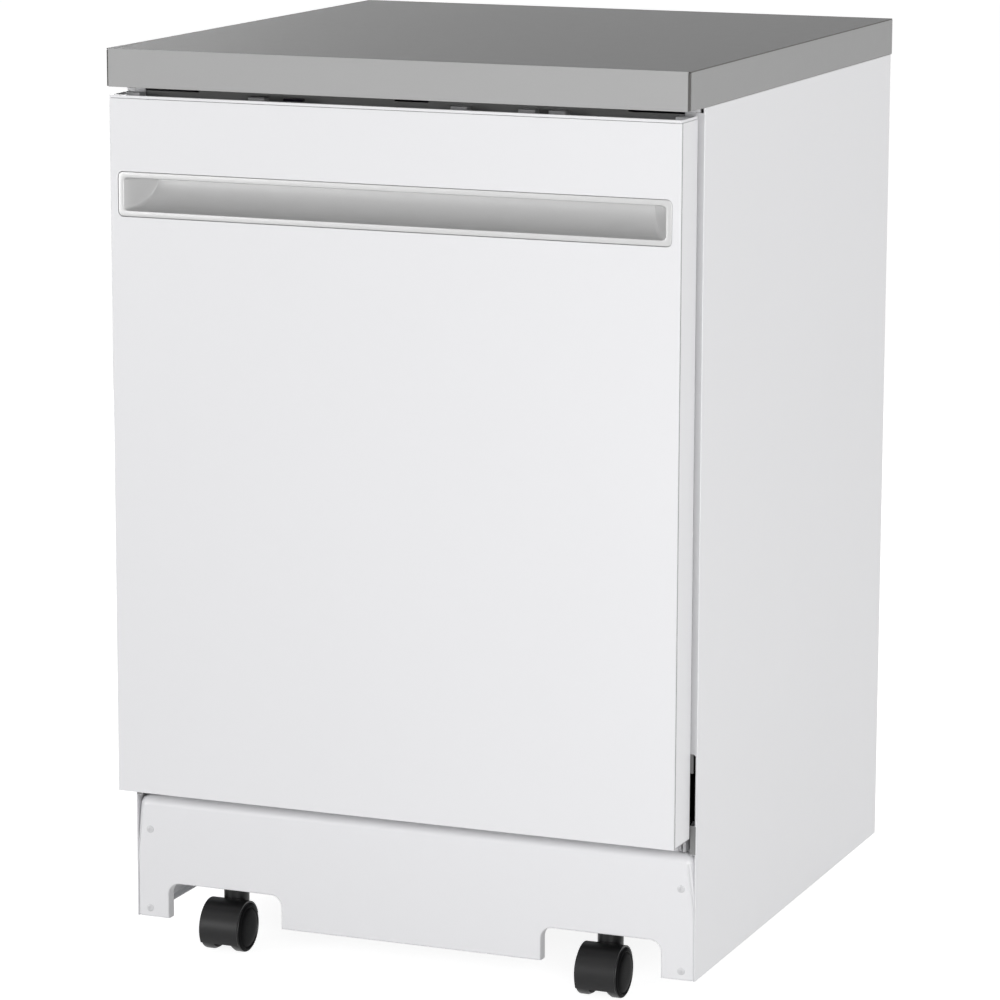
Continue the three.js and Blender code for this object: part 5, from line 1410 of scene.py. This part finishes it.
def add_upper_rack():
    low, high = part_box("upper_rack")
    rim = RIM_WIRE / 2
    levels = (low.z + rim, low.z + 0.066, high.z - rim)
    runs, closed = basket_runs(UPPER_HALF, low.y, UPPER_BACK, low.z, high.z, levels)
    wires = wirework("upper_rack_basket", runs, RACK_WIRE, closed)
    rows = tine_runs(UPPER_TINES, -0.18, 0.22, 11, low.z + TINE_FOOT, height=0.05, lean=0.008)
    tines = wirework("upper_rack_tines", rows, TINE_WIRE)
    dress(wires, "coated_wire", "upper_rack", ["upper_rack"])
    dress(tines, "coated_wire", "upper_rack")
    for name, side in SIDES.items():
        across, along = (RUNNER_X, high.x), (low.y, high.y)
        runner = sided(f"upper_rack_runner_{name}", side, across, along, RUNNER_Z)
        round_along(runner, X, 0.005, 5)
        dress(eased(runner, 0.0008, 3), "tub_plastic", "upper_rack")
        across = UPPER_HALF - 0.001, BRACKET_X
        brackets = [sided("bracket", side, across, (y, y + 0.03), BRACKET_Z) for y in BRACKET_Y]
        row = gathered(f"upper_rack_brackets_{name}", brackets)
        dress(eased(row, 0.001, 3), "tub_plastic", "upper_rack")
    add_rack_grip("upper_rack_grip", "upper_rack", low.y, high.z)


def add_lower_rack():
    low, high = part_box("lower_rack")
    rim, foot = RIM_WIRE / 2, LOWER_FOOT
    levels = (foot + rim, foot + 0.06, foot + 0.115, high.z - rim)
    runs, closed = basket_runs(LOWER_HALF, low.y, high.y, foot, high.z, levels)
    wires = wirework("lower_rack_basket", runs, RACK_WIRE, closed)
    rows = tine_runs(LOWER_TINES, -0.17, 0.2, 12, foot + TINE_FOOT, height=0.085, lean=0.02)
    tines = wirework("lower_rack_tines", rows, TINE_WIRE)
    axles = [
        [(side * (LOWER_HALF - 0.002), y, AXLE_Z), (side * AXLE_END, y, AXLE_Z)]
        for side in SIDES.values()
        for y in AXLE_Y
    ]
    dress(wires, "coated_wire", "lower_rack", ["lower_rack"])
    dress(tines, "coated_wire", "lower_rack")
    dress(wirework("lower_rack_axles", axles, 0.0058, roundness=4), "coated_wire", "lower_rack")
    add_rack_grip("lower_rack_grip", "lower_rack", low.y, high.z)


WHEEL_TREAD = (0, 0.0162), (0.0012, 0.018), (0.0078, 0.018), (0.009, 0.0162)
WHEEL_DISH = (0.009, 0.0132), (0.0064, 0.0124), (0.0064, 0.0066), (0.009, 0.006)


def add_rack_wheels():
    for end in ENDS:
        for name, side in SIDES.items():
            node = f"rack_wheel_{end}_{name}"
            low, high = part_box(node)
            middle = (low + high) / 2
            near, start = (low.x if side > 0 else high.x, *middle.yz), middle - 2 * PAST * X
            wheel = turned(f"{node}_tread", near, side * X, [*WHEEL_TREAD, *WHEEL_DISH], 40)
            holes = [
                rod("hole", around(start, 0.0096, 2 * pi * i / 6, Y, Z), X, 4 * PAST, 0.0018, 12)
                for i in range(6)
            ]
            cut(wheel, rod("bore", start, X, 4 * PAST, 0.0033, 20), gathered("holes", holes))
            dress(eased(wheel, 0), "white_plastic", node, [node])


BASKET_WALL, BASKET_CELLS = 0.002, 5
WINDOW_WIDE, WINDOW_TALL = 0.008, 0.019  # of the basket's lattice
WINDOW_FIRST = 0.009, 0.0065, 0.012  # from the basket's, the cell's and the basket's walls along x, y and z
WINDOW_PITCH_X, WINDOW_PITCH_Z = 0.013, 0.0255


def add_silverware_basket():
    low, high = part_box("silverware_basket")
    wall, half = BASKET_WALL, BASKET_WALL / 2
    basket = cuboid("silverware_lattice", low, high)
    round_along(basket, Z, 0.006, 4)
    pressed(basket, wall, Z)
    pitch = (high.y - low.y - wall) / BASKET_CELLS
    dividers = [
        cuboid("divider", (low.x + half, y, low.z + half), (high.x - half, y + wall, high.z - 0.004))
        for y in [low.y + pitch * i for i in range(1, BASKET_CELLS)]
    ]
    fuse(basket, gathered("dividers", dividers))
    wide, tall = WINDOW_WIDE, WINDOW_TALL
    first_x, first_y, first_z = WINDOW_FIRST
    xs = [low.x + first_x + column * WINDOW_PITCH_X for column in range(5)]
    zs = [low.z + first_z + row * WINDOW_PITCH_Z for row in range(4)]
    starts = [low.y + wall + pitch * cell + first_y for cell in range(BASKET_CELLS)]
    room = pitch - wall - 2 * first_y - wide
    ys = [[start + column * room / 3 for column in range(4)] for start in starts]
    (left, right), (front, back) = through(low.x, high.x), through(low.y, high.y)
    foot, top = through(low.z, low.z)
    for windows in (
        [((left, y, z), (right, y + wide, z + tall)) for row in ys for y in row for z in zs],
        [((x, front, z), (x + wide, back, z + tall)) for x in xs for z in zs],
        [((x, y, foot), (x + wide, y + wide, top)) for row in ys for x in xs for y in row],
    ):
        cut(basket, gathered("slots", [cuboid("slot", *window) for window in windows]))
    dress(eased(basket, 0), "tub_plastic", "silverware_basket", ["silverware_basket"])


# ---- Inside of the door ----

FIELD_HALF = 0.268
FIELD_Z = 0.2122, 0.8462
LINER_SHEET = 0.0015
LINER_NOTCH = 0.2837, 0.2052  # beside the hinge arms: its inner end and its top


def add_door_liner():
    low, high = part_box("door_inner_panel")
    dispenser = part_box("dispenser_body")
    foot, top = FIELD_Z
    rim = cuboid("rim", low, (high.x, low.y + LINER_SHEET, high.z))
    round_along(rim, Y, 0.003, 2)
    field = cuboid("door_liner", (-FIELD_HALF, low.y + LINER_SHEET / 2, foot), (FIELD_HALF, high.y, top))
    with editing(field):
        pick_faces(field, Y)
        resize((0.975, 1, 0.98), (0, high.y, (foot + top) / 2))
    rounded(field, lambda a, b: abs(a.y - b.y) > 0.01, 0.024, 6)
    rounded(field, lambda a, b: min(a.y, b.y) > high.y - 0.0005, 0.009, 4)
    framed(field, Y, (0.03, 0), (0.004, -0.003))
    pressed(field, LINER_SHEET, -Y)
    along, half = through(low.y, low.y), FIELD_HALF - 0.003
    hollow = cuboid("hollow", (-half, along[0], foot + 0.003), (half, along[1], top - 0.003))
    round_along(hollow, Y, 0.022)
    notch = (LINER_NOTCH[0], 0.4), along, (0, LINER_NOTCH[1])
    cut(rim, hollow, *[sided("notch", side, *notch) for side in (1, -1)])
    fuse(field, rim)
    cut(field, outlined("opening", *dispenser, -0.008, through(high.y, high.y)))
    dress(eased(field, 0), "tub_plastic", "door", ["door_inner_panel"])


DENT_X, DENT_Z = (0.014, 0.042), (0.024, 0.028)  # ends of the lid's finger dents, from the lid's corners
DENT_TALL, DENT_DEPTH = 0.004, 0.002


def add_dispenser():
    low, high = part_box("dispenser_body")
    lid_low, lid_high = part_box("dispenser_lid")
    lap = 0.004
    plate = cuboid("dispenser_plate", (low.x, high.y - lap, low.z), high)
    round_along(plate, Y, 0.008, 5)
    framed(plate, Y, (0.0035, 0), sink=0.0008)
    back = outlined("back", low, high, -0.0083, (low.y, high.y - lap / 2))
    round_along(back, Y, 0.004, 3)
    fuse(plate, back)
    cup = outlined("cup", lid_low, lid_high, -lap, (high.y - 0.017, high.y + PAST))
    round_along(cup, Y, 0.006, 5)
    cut(plate, cup)
    dress(eased(plate, 0.0005), "tub_plastic", "door", ["dispenser_body"])

    lid = cuboid("detergent_lid", lid_low, lid_high)
    round_along(lid, Y, 0.006, 5)
    framed(lid, Y, (0.003, 0), sink=0.0008)
    start, end = (lid_low.x + distance for distance in DENT_X)
    face = lid_high.y - DENT_DEPTH
    dents = [
        cuboid("dent", (start, face, z), (end, face + 0.012, z + DENT_TALL))
        for z in spread(5, lid_low.z + DENT_Z[0], lid_high.z - DENT_Z[1])
    ]
    for dent in dents:
        round_along(dent, Y, 0.0018, 3)
    cut(lid, gathered("dents", dents))
    dress(eased(lid, 0.0004), "tub_plastic", "dispenser_lid", ["dispenser_lid"])


RINSE_CAP = (0, 0), (0.0016, 0), (0.0025, 0.0012), (0.0025, 0.003), (0.0018, 0.0034)  # inwards from its edge


def add_rinse_cap():
    low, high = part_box("rinse_aid_cap")
    x, _, z = (low + high) / 2
    radius = (high.x - low.x) / 2
    profile = [(distance, radius - inwards) for distance, inwards in RINSE_CAP]
    cap = turned("rinse_cap", (x, low.y, z), Y, profile, 40)
    grip = cuboid("grip", (x - 0.0104, low.y + 0.001, z - 0.002), (x + 0.0104, high.y, z + 0.002))
    round_along(grip, Y, 0.0018, 3)
    fuse(cap, grip)
    dress(eased(cap, 0.0004), "black_plastic", "rinse_aid_cap", ["rinse_aid_cap"])


def add_latch():
    low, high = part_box("door_latch")
    level, half = LATCH_LEVEL, 0.0035
    housing = cuboid("latch_housing", low, high)
    round_along(housing, Y, 0.0015, 3)
    front, back = through(low.y, high.y)
    slot = cuboid("slot", (-0.013, front, level - half), (0.013, back, level + half))
    round_along(slot, Y, 0.0015, 3)
    cut(housing, slot)
    dress(eased(housing, 0.0005), "black_plastic", "door", ["door_latch"])


SPRING_WIRE, SPRING_HOOK, SPRING_TURNS = 0.0018, 0.009, 26


def add_hinges():
    for name in SIDES:
        for part in ("arm", "bracket"):
            soften_solid(f"hinge_{part}_{name}", 0.0005)
            frame["nodes"][f"hinge_{part}_{name}"].data.materials[0] = HINGE_PAINT
        low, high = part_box(f"door_spring_{name}")
        middle = (low + high) / 2
        wire, hook = SPRING_WIRE, SPRING_HOOK
        radius, start, end = (high.x - low.x - wire) / 2, low.z + hook, high.z - hook
        steps = 14 * SPRING_TURNS
        coil = [
            around((*middle.xy, start + (end - start) * i / steps), radius, 2 * pi * i / 14)
            for i in range(steps + 1)
        ]
        foot = [(*middle.xy, low.z + wire), (*middle.xy, low.z + hook * 0.7)]
        head = [(*middle.xy, high.z - hook * 0.7), (*middle.xy, high.z - wire)]
        run = [*foot, *coil, *head]
        spring = wirework(f"door_spring_{name}_coil", [run], wire, roundness=1)
        spring.data.materials.clear()
        spring.data.materials.append(FINISHES["stainless"])
        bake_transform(spring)
        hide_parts(f"door_spring_{name}")


# ---- Solids that keep their own shape ----


def dress_solids():
    """Gives every CAD solid its finish; those that a piece stands for are hidden already."""
    slots = {row["node"]: row["material_slot"] for row in frame["record"]["subparts"]}
    for node, solid in frame["nodes"].items():
        solid.data.materials.clear()
        solid.data.materials.append(FINISHES[slots[node]])


add_camera()
add_studio()
add_floor()
dress_solids()
add_worktop()
add_cabinet()
add_door_skin()
add_handle()
add_console()
add_latch()
add_door_liner()
add_dispenser()
add_rinse_cap()
add_hinges()
add_tub()
add_blankets()
add_seal()
add_strike()
add_upper_rails()
add_filter()
add_spray_arm("lower_spray_arm", True)
add_spray_arm("middle_spray_arm", False)
add_spray_arm("top_spray_arm", False)
add_heater()
add_float()
add_pumps()
add_upper_rack()
add_lower_rack()
add_rack_wheels()
add_silverware_basket()
soften_solid("base_frame", 0.0008)
add_casters()
